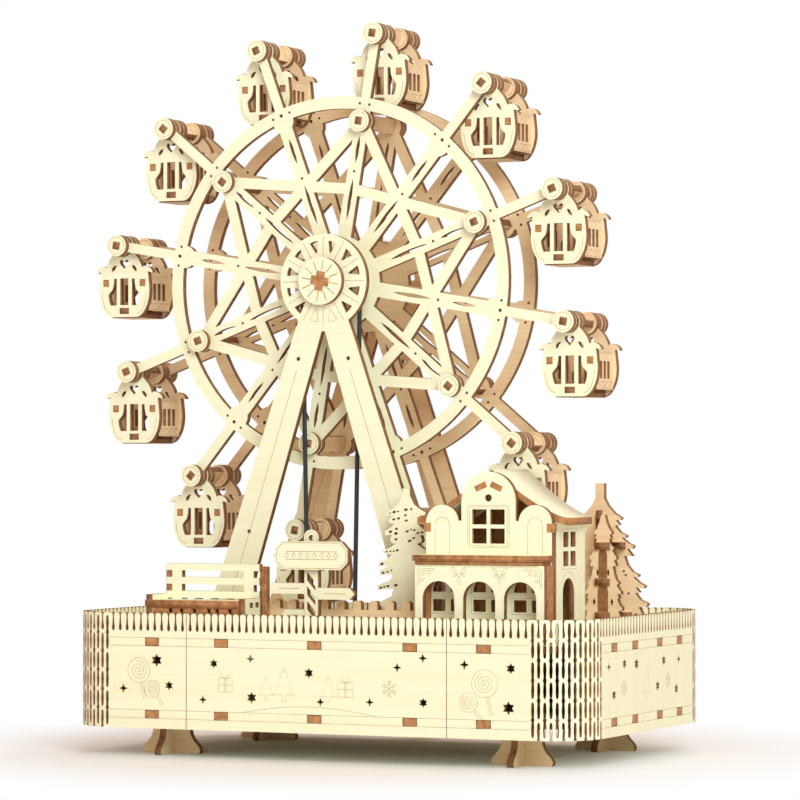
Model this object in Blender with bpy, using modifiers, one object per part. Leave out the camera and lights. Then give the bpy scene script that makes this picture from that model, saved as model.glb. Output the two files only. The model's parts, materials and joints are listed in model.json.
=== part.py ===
"""Wooden ferris wheel on a playground base, slotted together from laser-cut plywood.

The wheel turns on a cross-shaped axle between two A-frames. A hand crank behind the base
drives it through a shaft, two pulleys and a rubber belt. Twelve cabins hang from the arms.
X runs to the right, Y to the back and Z up; every length is in metres.
"""

import math

import bmesh
import bpy
from mathutils import Matrix, Vector
from mathutils.geometry import delaunay_2d_cdt

MM = 0.001

# Sheet and clearances
PLY = 3.0 * MM
GAP = 0.3 * MM
SLOT_PLAY = 0.3 * MM
SHEET_BITE = 0.2 * MM
WELD = 0.000001

# Base: a walled box on four crossed feet, with the wheel left of its middle
BASE_WIDTH = 233.4 * MM
BASE_DEPTH = 146.4 * MM
BASE_MIDDLE_X = 17.6 * MM
BASE_CORNER_RADIUS = 22.0 * MM
WALL_BOTTOM = 12.1 * MM
WALL_HEIGHT = 47.7 * MM
CENTRE_PANEL_WIDTH = 117.2 * MM
UPPER_DECK_DROP = 10.4 * MM
LOWER_DECK_RISE = 4.4 * MM
WALL_TAB_WIDTH = 5.9 * MM
FRONT_TABS = (-74.8 * MM, -42.6 * MM, 0.0, 42.6 * MM, 74.8 * MM)
SIDE_TABS = (-38.0 * MM, -15.0 * MM, 13.0 * MM, 36.0 * MM)
CORNER_STEPS = 5

# Feet
FOOT_INSET_X = 36.7 * MM
FOOT_INSET_Y = 28.2 * MM
FOOT_SOLE = 27.0 * MM
FOOT_NECK = 17.4 * MM

# A-frames
FRAME_OFFSET = 29.0 * MM
FRAME_DISC_RADIUS = 20.0 * MM
FRAME_BORE_CLEARANCE = 0.25 * MM
FRAME_CROTCH = 21.0 * MM
LEG_INNER_ANGLE = 17.1
LEG_OUTER_ANGLE = 19.0
LEG_WIDTH = 12.6 * MM
LEG_SPREAD = 0.8 * MM
LEG_TAB_WIDTH = 9.0 * MM
FRAME_WINDOWS = 12
FRAME_WINDOW_INNER = 11.6 * MM
FRAME_WINDOW_OUTER = 16.4 * MM
FRAME_WINDOW_HALF = 2.4 * MM

# Axle, caps and belt drive
AXLE_WIDTH = 7.5 * MM
TENON_PROUD = 0.4 * MM
CAP_RADIUS = 10.0 * MM
BELT_OFFSET = 21.3 * MM
BELT_RADIUS = 1.0 * MM
UPPER_BELT_RADIUS = 13.5 * MM
LOWER_BELT_RADIUS = 10.5 * MM
FLANGE_RISE = 1.3 * MM
PULLEY_DEPTH = 9.0 * MM
GROOVE_WIDTH = 3.0 * MM
DRIVE_HEIGHT = 33.0 * MM
SHAFT_RADIUS = 2.0 * MM
BRACKET_WIDTH = 26.0 * MM
CRANK_LENGTH = 20.0 * MM
CRANK_CLEARANCE = 1.9 * MM
CRANK_ROUND = 5.0 * MM
KNOB_RADIUS = 4.0 * MM
KNOB_PIN_RADIUS = 1.5 * MM
KNOB_LENGTH = 14.0 * MM
ROUND_STEPS = 20

# Wheel
ARM_COUNT = 12
WHEEL_PHASE = 9.8
ROD_RADIUS = 106.0 * MM
TIE_CLEARANCE = 0.2 * MM
RING_WIDTH = 5.3 * MM
HUB_PLATE_RADIUS = 20.0 * MM
ARM_WIDTH = 6.2 * MM
ARM_TIP_WIDTH = 4.2 * MM
LOBE_RADIUS = 4.7 * MM
STRIP_WIDTH = 4.6 * MM
STRIP_END_RADIUS = 40.0 * MM
LEAST_WINDOW = 8.0 * MM * MM
RING_STEPS = 3
WHEEL_PLATE_OFFSET = 15.9 * MM

# Rods and their end discs
TENON = 3.0 * MM
ROD_FLAT = 6.5 * MM
DISC_RADIUS = 4.8 * MM
DISC_STEPS = 12

# Cabins, measured from the rod that carries them
CABIN_HALF_DEPTH = 12.0 * MM
CABIN_HEAD_RADIUS = 4.2 * MM
CABIN_BORE_RADIUS = 2.5 * MM
CABIN_DOME_RADIUS = 12.8 * MM
CABIN_DOME_DROP = 15.6 * MM
CABIN_EAVE_DROP = 8.4 * MM
CABIN_EAVE_TIP = 14.7 * MM
CABIN_EAVE_BOTTOM = 11.4 * MM
CABIN_HALF_WIDTH = 12.7 * MM
CABIN_BOTTOM = 32.2 * MM
CABIN_CLEARANCE = 10.4 * MM
CABIN_CORNER = 7.0 * MM
CABIN_WALL_HALF = 10.7 * MM
CABIN_WALL_TOP = 13.0 * MM
CABIN_FLOOR_DROP = 31.0 * MM
WINDOW_TOP = 15.1 * MM
WINDOW_BOTTOM = 26.6 * MM
WINDOW_BAR = 2.1 * MM
WINDOW_HALF = 2.0 * MM
WINDOW_REACH = 8.7 * MM

# Shop beside the wheel
SHOP_X = 86.5 * MM
SHOP_SETBACK = 18.6 * MM
SHOP_HALF_WIDTH = 27.6 * MM
SHOP_WALL_HALF = 25.7 * MM
SHOP_WALL_TOP = 98.0 * MM
ARCADE_SETBACK = 9.2 * MM
ARCADE_HALF_WIDTH = 28.2 * MM
ARCH_PITCH = 17.8 * MM
ARCH_RADIUS = 7.0 * MM
ARCH_TOP = 74.4 * MM
LEDGE_HEIGHT = 80.9 * MM
LEDGE_THICKNESS = 4.0 * MM
LEDGE_HALF_WIDTH = 29.8 * MM
LEDGE_OVERHANG = 1.5 * MM
GABLE_RADIUS = 11.9 * MM
GABLE_TOP = 118.4 * MM
LOBE_ARCH_TOP = 105.0 * MM
GABLE_NOTCH = 98.6 * MM
NOTCH_WIDTH = 1.2 * MM
UPPER_WINDOW = 14.2 * MM
UPPER_WINDOW_TOP = 103.2 * MM
UPPER_WINDOW_HEIGHT = 13.8 * MM
WINDOW_CROSS = 1.6 * MM
ROOF_HALF_WIDTH = 31.0 * MM
ROOF_CABIN_GAP = 2.0 * MM
ROOF_BACK_OVERHANG = 3.0 * MM
ROOF_RIDGE = 119.3 * MM
ROOF_DROP = 19.0 * MM
ROOF_SWOOP = 1.38
ROOF_STEPS = 5
DOOR_WIDTH = 11.5 * MM
DOOR_TOP = 75.5 * MM
PANE_TOP = 94.0 * MM
PANE_BOTTOM = 80.0 * MM
PANE_WIDTH = 13.5 * MM

# Playground pieces on the deck
BENCH_X = -39.0 * MM
BENCH_WALL_GAP = 0.2 * MM
BENCH_WIDTH = 46.6 * MM
BENCH_DEPTH = 14.0 * MM
BENCH_TOP = 80.0 * MM
BENCH_SEAT = 62.5 * MM
BENCH_SLAT = 2.9 * MM
BENCH_SLAT_PITCH = 5.6 * MM
BENCH_POST_X = 16.3 * MM
BENCH_POST_WIDTH = 4.6 * MM
SIGN_X = 11.2 * MM
SIGN_SETBACK = 14.7 * MM
SIGN_POST_WIDTH = 6.4 * MM
SIGN_RING_HEIGHT = 92.7 * MM
SIGN_RING_RADIUS = 3.3 * MM
SIGN_BOARD_WIDTH = 34.5 * MM
SIGN_BOARD_BOTTOM = 77.3 * MM
SIGN_BOARD_HEIGHT = 13.2 * MM
SIGN_BOARD_CORNER = 3.0 * MM
ARROW_LENGTH = 17.0 * MM
ARROW_HEIGHT = 5.2 * MM
ARROW_LEFT_HEIGHT = 67.4 * MM
ARROW_RIGHT_HEIGHT = 65.3 * MM
PLAQUE_HEIGHT = 58.2 * MM
FENCE_SETBACK = 22.7 * MM
FENCE_LEFT = -64.0 * MM
FENCE_RIGHT = 56.4 * MM
FENCE_TOP = 65.2 * MM
FENCE_MERLON = 3.4 * MM
FENCE_NOTCH_DEPTH = 3.6 * MM
FENCE_PITCH = 7.4 * MM
LARGE_TREE = (107.0 * MM, 16.0 * MM)
LARGE_TREE_HEIGHT = 64.0 * MM
LARGE_TREE_RADIUS = 21.5 * MM
SMALL_TREE_X = 43.5 * MM
SMALL_TREE_HEIGHT = 62.0 * MM
SMALL_TREE_RADIUS = 13.0 * MM
SMALL_TREE_CLEARANCE = 2.0 * MM
TREE_TIERS = 7

# Places that follow from the sizes above
HALF_PLY = PLY / 2
WALL_TOP = WALL_BOTTOM + WALL_HEIGHT
UPPER_DECK = WALL_TOP - UPPER_DECK_DROP
LOWER_DECK = WALL_BOTTOM + LOWER_DECK_RISE + PLY
FLOOR_OF_DECK = UPPER_DECK + GAP
HUB_HEIGHT = UPPER_DECK + CABIN_CLEARANCE + CABIN_BOTTOM + ROD_RADIUS
TIE_RADIUS = ROD_RADIUS - CABIN_BOTTOM - TIE_CLEARANCE - DISC_RADIUS
RING_INNER = TIE_RADIUS + LOBE_RADIUS
RING_OUTER = RING_INNER + RING_WIDTH
BASE_FRONT = -BASE_DEPTH / 2
BASE_BACK = BASE_DEPTH / 2
BASE_LEFT = BASE_MIDDLE_X - BASE_WIDTH / 2
BASE_RIGHT = BASE_MIDDLE_X + BASE_WIDTH / 2
ARCADE_Y = BASE_FRONT + ARCADE_SETBACK
SHOP_FRONT_Y = BASE_FRONT + SHOP_SETBACK
ROOF_BACK_Y = -CABIN_HALF_DEPTH - ROOF_CABIN_GAP
SHOP_BACK_Y = ROOF_BACK_Y - ROOF_BACK_OVERHANG
BENCH_BACK_Y = BASE_FRONT + PLY + BENCH_WALL_GAP + BENCH_DEPTH + HALF_PLY
SIGN_Y = BASE_FRONT + SIGN_SETBACK
FENCE_Y = BASE_FRONT + FENCE_SETBACK
SMALL_TREE_ROOM = -FRAME_OFFSET - FENCE_Y - HALF_PLY
SMALL_TREE_DEPTH = SMALL_TREE_ROOM / 2 - SMALL_TREE_CLEARANCE
SMALL_TREE = (SMALL_TREE_X, -FRAME_OFFSET - SMALL_TREE_ROOM / 2)
ROD_HALF_LENGTH = WHEEL_PLATE_OFFSET + GAP + PLY
AXLE_HALF_LENGTH = FRAME_OFFSET + GAP + PLY
CRANK_Y = BASE_BACK + CRANK_CLEARANCE + HALF_PLY
KNOB_END = CRANK_Y + HALF_PLY + GAP + KNOB_LENGTH
ARM_STEP = 360.0 / ARM_COUNT
ARM_ANGLES = [WHEEL_PHASE + ARM_STEP * k for k in range(ARM_COUNT)]


def polar(radius, degrees):
    """A point this far from the centre, turned clockwise from straight up."""
    angle = math.radians(degrees)
    return (radius * math.sin(angle), radius * math.cos(angle))


def arc(centre, radius, start, end, steps):
    """Points along an arc, its ends given in degrees clockwise from straight up."""
    turns = [start + (end - start) * step / steps for step in range(steps + 1)]
    return [(centre[0] + x, centre[1] + z) for x, z in (polar(radius, turn) for turn in turns)]


def circle(centre, radius, steps=ROUND_STEPS):
    return arc(centre, radius, 0.0, 360.0, steps)[:-1]


def rectangle(left, bottom, right, top):
    return [(left, bottom), (right, bottom), (right, top), (left, top)]


def moved(loop, x, z):
    return [(px + x, pz + z) for px, pz in loop]


def turned(loop, degrees):
    """The loop turned clockwise about the centre."""
    c, s = math.cos(math.radians(degrees)), math.sin(math.radians(degrees))
    return [(x * c + z * s, z * c - x * s) for x, z in loop]


def mirrored(half):
    """A closed outline from its right half, listed from top to bottom."""
    return half + [(-x, z) for x, z in reversed(half) if x > WELD]


def cross_outline(width, bar):
    """A plus sign, as the end of the axle."""
    w, b = width / 2, bar / 2
    quarter = [(b, w), (b, b), (w, b)]
    return [point for turn in range(4) for point in turned(quarter, 90.0 * turn)]


def clipped(loop, through, normal):
    """The part of the loop on the side of a line that the normal points to."""
    kept = []
    for (ax, az), (bx, bz) in zip(loop, loop[1:] + loop[:1]):
        a = (ax - through[0]) * normal[0] + (az - through[1]) * normal[1]
        b = (bx - through[0]) * normal[0] + (bz - through[1]) * normal[1]
        if a >= 0:
            kept.append((ax, az))
        if (a >= 0) != (b >= 0):
            t = a / (a - b)
            kept.append((ax + (bx - ax) * t, az + (bz - az) * t))
    return kept


def area(loop):
    pairs = zip(loop, loop[1:] + loop[:1])
    return abs(sum(ax * bz - bx * az for (ax, az), (bx, bz) in pairs)) / 2


def split_by_strip(loops, start, end, width):
    """Each loop cut in two by a straight strip of sheet that runs across it."""
    run = (end[0] - start[0], end[1] - start[1])
    length = math.hypot(*run)
    side = (-run[1] / length, run[0] / length)
    halves = []
    for loop in loops:
        for sign in (1.0, -1.0):
            normal = (side[0] * sign, side[1] * sign)
            edge = (start[0] + normal[0] * width / 2, start[1] + normal[1] * width / 2)
            halves.append(clipped(loop, edge, normal))
    return [half for half in halves if len(half) > 2 and area(half) > LEAST_WINDOW]


def bitten(loop, centre, radius):
    """The loop with a disc taken out of its corner, or the same loop where they don't meet."""
    inside = [math.hypot(x - centre[0], z - centre[1]) < radius for x, z in loop]
    if not any(inside) or all(inside):
        return loop
    count = len(loop)
    last_in = next(i for i in range(count) if inside[i] and not inside[(i + 1) % count])
    first_in = next(i for i in range(count) if inside[i] and not inside[i - 1])
    leave = crossing(loop[last_in], loop[(last_in + 1) % count], centre, radius)
    enter = crossing(loop[first_in], loop[first_in - 1], centre, radius)
    kept = [loop[(last_in + 1 + i) % count] for i in range(count)]
    kept = [point for point in kept if math.dist(point, centre) >= radius]
    start = math.degrees(math.atan2(enter[0] - centre[0], enter[1] - centre[1]))
    end = math.degrees(math.atan2(leave[0] - centre[0], leave[1] - centre[1]))
    sweep = (end - start + 180.0) % 360.0 - 180.0
    return kept + arc(centre, radius, start, start + sweep, 2)


def crossing(inner, outer, centre, radius):
    """Where the line between a point inside a circle and one outside it meets the circle."""
    dx, dz = outer[0] - inner[0], outer[1] - inner[1]
    fx, fz = inner[0] - centre[0], inner[1] - centre[1]
    a, b, c = dx * dx + dz * dz, 2 * (fx * dx + fz * dz), fx * fx + fz * fz - radius * radius
    t = (-b + math.sqrt(b * b - 4 * a * c)) / (2 * a)
    return (inner[0] + dx * t, inner[1] + dz * t)


# Objects and materials


def clear_scene():
    for obj in list(bpy.data.objects):
        bpy.data.objects.remove(obj, do_unlink=True)


def collection(name):
    made = bpy.data.collections.new(name)
    bpy.context.scene.collection.children.link(made)
    return made


def material(name, colour, roughness):
    made = bpy.data.materials.new(name)
    made.use_nodes = True
    shader = made.node_tree.nodes["Principled BSDF"]
    shader.inputs["Base Color"].default_value = (*colour, 1.0)
    shader.inputs["Roughness"].default_value = roughness
    shader.inputs["Metallic"].default_value = 0.0
    return made


clear_scene()
PARTS = collection("ferris_wheel")
CUTTERS = collection("cutters")
PLYWOOD = material("plywood", (0.86, 0.72, 0.50), 0.62)
RUBBER = material("belt_rubber", (0.03, 0.03, 0.035), 0.75)


def empty(name, parent, location):
    made = bpy.data.objects.new(name, None)
    made.parent = parent
    made.location = location
    PARTS.objects.link(made)
    return made


def placed(name, data, location, rotation=(0.0, 0.0, 0.0), parent=None, finish=PLYWOOD):
    """A new object in the part, with its material and its place under its parent."""
    made = bpy.data.objects.new(name, data)
    made.location = location
    made.rotation_euler = rotation
    made.parent = parent
    if not data.materials:
        data.materials.append(finish)
    PARTS.objects.link(made)
    return made


FACINGS = {
    "front": (math.radians(90), 0.0, 0.0),
    "side": (math.radians(90), 0.0, math.radians(90)),
    "up": (0.0, 0.0, 0.0),
}


def sheet(name, loops, middle, facing="front", thickness=PLY, parent=None, turn=0.0):
    """A flat piece cut from sheet: its outline first, then its holes."""
    curve = bpy.data.curves.new(name, "CURVE")
    curve.dimensions = "2D"
    curve.fill_mode = "BOTH"
    curve.extrude = thickness / 2
    for loop in loops:
        spline = curve.splines.new("POLY")
        spline.points.add(len(loop) - 1)
        for point, (x, y) in zip(spline.points, loop):
            point.co = (x, y, 0.0, 1.0)
        spline.use_cyclic_u = True
    tilt = FACINGS[facing]
    return placed(name, curve, middle, (tilt[0], math.radians(turn), tilt[2]), parent)


def board(name, low, high, parent=None):
    """A rectangular piece between two corners."""
    mesh = bpy.data.meshes.new(name)
    work = bmesh.new()
    bmesh.ops.create_cube(work, size=1.0)
    size = [high[i] - low[i] for i in range(3)]
    bmesh.ops.scale(work, vec=size, verts=work.verts)
    work.to_mesh(mesh)
    work.free()
    return placed(name, mesh, [(high[i] + low[i]) / 2 for i in range(3)], parent=parent)


def lathe(name, profile, location, parent=None, steps=ROUND_STEPS):
    """A piece turned about an axis that runs front to back, from (radius, depth) points."""
    mesh = bpy.data.meshes.new(name)
    depths = [(radius, -depth) for radius, depth in profile]
    mesh.from_pydata([(r, 0.0, h) for r, h in depths], [(i, i + 1) for i in range(len(depths) - 1)], [])
    made = placed(name, mesh, location, (math.radians(90), 0.0, 0.0), parent)
    screw = made.modifiers.new("turn", "SCREW")
    screw.steps = steps
    screw.render_steps = steps
    screw.use_merge_vertices = True
    screw.merge_threshold = WELD
    return made


def shape_of(obj):
    """What the object's modifiers make of it, as a mesh of its own."""
    bpy.context.view_layer.update()
    graph = bpy.context.evaluated_depsgraph_get()
    return bpy.data.meshes.new_from_object(obj.evaluated_get(graph))


def inside(point, loops):
    """Whether a point is on the sheet: within an odd number of its loops."""
    x, z = point
    crossings = 0
    for loop in loops:
        for (ax, az), (bx, bz) in zip(loop, loop[1:] + loop[:1]):
            if (az > z) != (bz > z) and x < ax + (z - az) * (bx - ax) / (bz - az):
                crossings += 1
    return crossings % 2 == 1


def filled(loops):
    """The loops' points, and the triangles between them, with no sliver for a Boolean to trip on."""
    points, borders = [], []
    for loop in loops:
        first = len(points)
        points += [Vector(point) for point in loop]
        borders += [(first + i, first + (i + 1) % len(loop)) for i in range(len(loop))]
    result = delaunay_2d_cdt(points, borders, [], 0, WELD / 10)
    triangles = []
    for a, b, c in result[2]:
        pa, pb, pc = result[0][a], result[0][b], result[0][c]
        if inside((pa + pb + pc) / 3, loops):
            triangles.append((a, b, c) if (pb - pa).cross(pc - pa) > 0 else (c, b, a))
    return result[0], triangles


def as_solid(obj):
    """The same sheet as a mesh object, so that it can be cut or joined."""
    if obj.type == "MESH":
        return obj
    name, half = obj.name, obj.data.extrude
    loops = [[tuple(point.co[:2]) for point in spline.points] for spline in obj.data.splines]
    points, triangles = filled(loops)
    count = len(points)
    verts = [(x, y, half) for x, y in points] + [(x, y, -half) for x, y in points]
    faces = triangles + [(c + count, b + count, a + count) for a, b, c in triangles]
    edges = {edge for a, b, c in triangles for edge in ((a, b), (b, c), (c, a))}
    faces += [(b, a, a + count, b + count) for a, b in sorted(edges) if (b, a) not in edges]
    mesh = bpy.data.meshes.new(name)
    mesh.from_pydata(verts, [], faces)
    made = placed(name, mesh, obj.location, obj.rotation_euler, obj.parent)
    bpy.data.objects.remove(obj)
    made.name = name
    return made


def united(name, pieces, cuts=()):
    """One solid from pieces that overlap, less what the cutters take out."""
    solids = [as_solid(piece) for piece in pieces]
    base, others = solids[0], solids[1:]
    for other in others + list(cuts):
        step = base.modifiers.new(other.name, "BOOLEAN")
        step.operation = "DIFFERENCE" if other in cuts else "UNION"
        step.object = other
    mesh = shape_of(base)
    mesh.name = name
    made = placed(name, mesh, base.location, base.rotation_euler, base.parent)
    for used in solids:
        bpy.data.objects.remove(used)
    made.name = name
    return made


def cutter(obj):
    """Hides a helper solid that only takes material away."""
    made = as_solid(obj)
    PARTS.objects.unlink(made)
    CUTTERS.objects.link(made)
    made.hide_render = True
    made.display_type = "WIRE"
    return made


def cutter_boxes(name, boxes, parent):
    """One helper of many boxes, each given by two corners."""
    mesh = bpy.data.meshes.new(name)
    work = bmesh.new()
    for low, high in boxes:
        size = [high[i] - low[i] for i in range(3)]
        middle = [(high[i] + low[i]) / 2 for i in range(3)]
        place = Matrix.Translation(middle) @ Matrix.Diagonal((*size, 1.0))
        bmesh.ops.create_cube(work, size=1.0, matrix=place)
    work.to_mesh(mesh)
    work.free()
    return cutter(placed(name, mesh, (0.0, 0.0, 0.0), parent=parent))


# Anchors: the whole part, the wheel's axis and the drive shaft's axis

GONDOLA_X = [polar(ROD_RADIUS, angle)[0] for angle in ARM_ANGLES]
PART_LEFT = min(BASE_LEFT, min(GONDOLA_X) - CABIN_EAVE_TIP)
PART_RIGHT = max(BASE_RIGHT, max(GONDOLA_X) + CABIN_EAVE_TIP)
ROOT = empty("stand_origin", None, (-(PART_LEFT + PART_RIGHT) / 2, -(BASE_FRONT + KNOB_END) / 2, 0.0))
WHEEL = empty("wheel_axis", ROOT, (0.0, 0.0, HUB_HEIGHT))
DRIVE = empty("drive_axis", ROOT, (0.0, 0.0, DRIVE_HEIGHT))


# Base


def rounded_rectangle(inset, tab_reach):
    """The base's outline from above, drawn in by the inset, with tabs out to tab_reach."""
    left, right = BASE_LEFT + inset, BASE_RIGHT - inset
    front, back = BASE_FRONT + inset, BASE_BACK - inset
    radius = BASE_CORNER_RADIUS - inset
    half = WALL_TAB_WIDTH / 2
    corners = [
        ((right - radius, back - radius), 0.0),
        ((right - radius, front + radius), 90.0),
        ((left + radius, front + radius), 180.0),
        ((left + radius, back - radius), 270.0),
    ]
    loop = []
    for (centre, start), side in zip(corners, ("right", "front", "left", "back")):
        loop += arc(centre, radius, start, start + 90.0, CORNER_STEPS)
        if tab_reach > 0.0:
            for along in side_tab_places(side):
                loop += tab_points(side, along, half, (left, front, right, back), tab_reach)
    return loop


def side_tab_places(side):
    if side in ("right", "left"):
        places = SIDE_TABS
    else:
        places = [BASE_MIDDLE_X + x for x in FRONT_TABS]
    return sorted(places, reverse=side in ("right", "front"))


def tab_points(side, along, half, edges, reach):
    left, front, right, back = edges
    if side == "right":
        return [(right, along + half), (right + reach, along + half),
                (right + reach, along - half), (right, along - half)]
    if side == "front":
        return [(along + half, front), (along + half, front - reach),
                (along - half, front - reach), (along - half, front)]
    if side == "left":
        return [(left, along - half), (left - reach, along - half),
                (left - reach, along + half), (left, along + half)]
    return [(along - half, back), (along - half, back + reach),
            (along + half, back + reach), (along + half, back)]


def deck_loop():
    return rounded_rectangle(PLY + GAP, PLY + GAP)


def leg_edges(drop):
    """How far a leg's inner and outer edges are from the hub's centre line, this far below it."""
    below = drop - FRAME_CROTCH
    inner = LEG_SPREAD + below * math.tan(math.radians(LEG_INNER_ANGLE))
    return inner, LEG_SPREAD + LEG_WIDTH + below * math.tan(math.radians(LEG_OUTER_ANGLE))


def leg_foot_x():
    """Where the middle of an A-frame's leg meets the deck, from the hub's centre line."""
    return sum(leg_edges(HUB_HEIGHT - UPPER_DECK)) / 2


def build_decks():
    half_tab = LEG_TAB_WIDTH / 2 + SLOT_PLAY
    slots = []
    for x in (-leg_foot_x(), leg_foot_x()):
        for y in (-FRAME_OFFSET + HALF_PLY, FRAME_OFFSET - HALF_PLY):
            reach = HALF_PLY + SLOT_PLAY
            slots.append(rectangle(x - half_tab, y - reach, x + half_tab, y + reach))
    strand = BELT_RADIUS * 3
    for side in (-1.0, 1.0):
        x = side * belt_half_width(UPPER_DECK - HALF_PLY)
        slots.append(rectangle(x - strand, -BELT_OFFSET - strand, x + strand, -BELT_OFFSET + strand))
    sheet("upper_deck", [deck_loop()] + slots, (0.0, 0.0, UPPER_DECK - HALF_PLY), "up", parent=ROOT)
    sheet("lower_deck", [deck_loop()], (0.0, 0.0, LOWER_DECK - HALF_PLY), "up", parent=ROOT)


def tab_slot_boxes():
    """The slots that the decks' tabs fill in the four walls, as boxes through the walls."""
    boxes = []
    half = WALL_TAB_WIDTH / 2 + SLOT_PLAY
    for deck in (UPPER_DECK, LOWER_DECK):
        low, high = deck - PLY - SLOT_PLAY, deck + SLOT_PLAY
        for x in FRONT_TABS:
            x += BASE_MIDDLE_X
            for y in (BASE_FRONT, BASE_BACK):
                boxes.append(((x - half, y - 2 * PLY, low), (x + half, y + 2 * PLY, high)))
        for y in SIDE_TABS:
            for x in (BASE_LEFT, BASE_RIGHT):
                boxes.append(((x - 2 * PLY, y - half, low), (x + 2 * PLY, y + half, high)))
    return boxes


def wrap_loop(side):
    """A wall bent round one end of the base, seen from above."""
    seam = CENTRE_PANEL_WIDTH / 2 + GAP
    end = (BASE_RIGHT if side > 0 else BASE_LEFT) - BASE_MIDDLE_X
    reach = abs(end)
    loop = []
    for inset, order in ((0.0, 1), (PLY, -1)):
        radius = BASE_CORNER_RADIUS - inset
        across, deep = reach - BASE_CORNER_RADIUS, BASE_DEPTH / 2 - BASE_CORNER_RADIUS
        path = [(seam, BASE_DEPTH / 2 - inset)]
        path += arc((across, deep), radius, 0.0, 90.0, CORNER_STEPS)
        path += arc((across, -deep), radius, 90.0, 180.0, CORNER_STEPS)
        path += [(seam, -BASE_DEPTH / 2 + inset)]
        loop += path[::order]
    return [(BASE_MIDDLE_X + side * x, y) for x, y in loop]


def build_walls():
    middle = WALL_BOTTOM + WALL_HEIGHT / 2
    slots = cutter_boxes("wall_tab_slots", tab_slot_boxes(), ROOT)
    for name, side in (("left_wrap_wall", -1.0), ("right_wrap_wall", 1.0)):
        wall = sheet(name, [wrap_loop(side)], (0.0, 0.0, middle), "up", WALL_HEIGHT, ROOT)
        united(name, [wall], [slots])
    left = BASE_MIDDLE_X - CENTRE_PANEL_WIDTH / 2
    panel = rectangle(left, WALL_BOTTOM, left + CENTRE_PANEL_WIDTH, WALL_TOP)
    shaft_hole = circle((0.0, DRIVE_HEIGHT), SHAFT_RADIUS + GAP, 12)
    front = sheet("front_wall", [panel], (0.0, BASE_FRONT + HALF_PLY, 0.0), parent=ROOT)
    united("front_wall", [front], [slots])
    back = sheet("rear_wall", [panel, shaft_hole], (0.0, BASE_BACK - HALF_PLY, 0.0), parent=ROOT)
    united("rear_wall", [back], [slots])


def foot_loop():
    """One plate of a foot: a neck under the deck that flares to the sole."""
    top = LOWER_DECK - PLY - GAP
    sole, neck = FOOT_SOLE / 2, FOOT_NECK / 2
    flare = sole - neck
    half = [(neck, top), (neck, top * 0.72), (neck + flare * 0.35, top * 0.42),
            (sole - flare * 0.12, top * 0.2), (sole, top * 0.06), (sole, 0.0)]
    return mirrored(half)


def build_feet():
    for row, side_y in (("front", -1.0), ("rear", 1.0)):
        for column, side_x in (("left", -1.0), ("right", 1.0)):
            name = f"foot_{row}_{column}"
            x = BASE_MIDDLE_X + side_x * (BASE_WIDTH / 2 - FOOT_INSET_X)
            y = side_y * (BASE_DEPTH / 2 - FOOT_INSET_Y)
            along = sheet(name, [foot_loop()], (x, y, 0.0), parent=ROOT)
            across = sheet(name + "_cross", [foot_loop()], (x, y, 0.0), "side", parent=ROOT)
            united(name, [along, across])


# A-frames, axle and caps


def a_frame_loops():
    """The disc at the hub, the two legs and the tabs that stand in the deck."""
    foot = HUB_HEIGHT - FLOOR_OF_DECK
    foot_inner, foot_outer = leg_edges(foot)
    tab_middle, tab_half = leg_foot_x(), LEG_TAB_WIDTH / 2
    shoulder = FRAME_CROTCH + 2.0 * MM
    waist = leg_edges(shoulder)[1]
    meet = 180.0 - math.degrees(math.asin(min(0.99, 0.82 * waist / FRAME_DISC_RADIUS)))
    half = arc((0.0, 0.0), FRAME_DISC_RADIUS, 0.0, meet, 9)
    half += [(waist, -shoulder), (foot_outer, -foot)]
    half += [(tab_middle + tab_half, -foot), (tab_middle + tab_half, -foot - PLY)]
    half += [(tab_middle - tab_half, -foot - PLY), (tab_middle - tab_half, -foot)]
    half += [(foot_inner, -foot), (LEG_SPREAD, -FRAME_CROTCH)]
    corner = math.hypot(AXLE_WIDTH / 2, HALF_PLY)
    bore = circle((0.0, 0.0), corner + FRAME_BORE_CLEARANCE, 16)
    windows = []
    for k in range(FRAME_WINDOWS):
        angle = (k + 0.5) * 360.0 / FRAME_WINDOWS
        if abs(angle - 180.0) < 360.0 / FRAME_WINDOWS:
            continue
        wedge = [(-FRAME_WINDOW_HALF, FRAME_WINDOW_OUTER), (FRAME_WINDOW_HALF, FRAME_WINDOW_OUTER),
                 (0.0, FRAME_WINDOW_INNER)]
        windows.append(turned(wedge, angle))
    return [mirrored(half), bore] + windows


def build_a_frames():
    for name, side in (("front_a_frame", -1.0), ("rear_a_frame", 1.0)):
        y = side * (FRAME_OFFSET - HALF_PLY)
        sheet(name, a_frame_loops(), (0.0, y, HUB_HEIGHT), parent=ROOT)


def build_axle():
    """The crossed bars, with the rear cap glued on; the front cap stays a piece of its own."""
    length = 2 * (AXLE_HALF_LENGTH + TENON_PROUD)
    cross = cross_outline(AXLE_WIDTH, PLY)
    bars = sheet("axle", [cross], (0.0, 0.0, 0.0), "front", length, WHEEL, WHEEL_PHASE)
    cap_y = AXLE_HALF_LENGTH - HALF_PLY
    cap = sheet("axle_cap", [circle((0.0, 0.0), CAP_RADIUS)], (0.0, cap_y, 0.0), parent=WHEEL)
    united("axle", [bars, cap])
    hole = turned(cross_outline(AXLE_WIDTH + 2 * GAP, PLY + 2 * GAP), WHEEL_PHASE)
    sheet("front_hub_cap", [circle((0.0, 0.0), CAP_RADIUS), hole], (0.0, -cap_y, 0.0), parent=WHEEL)


# Belt drive


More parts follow.
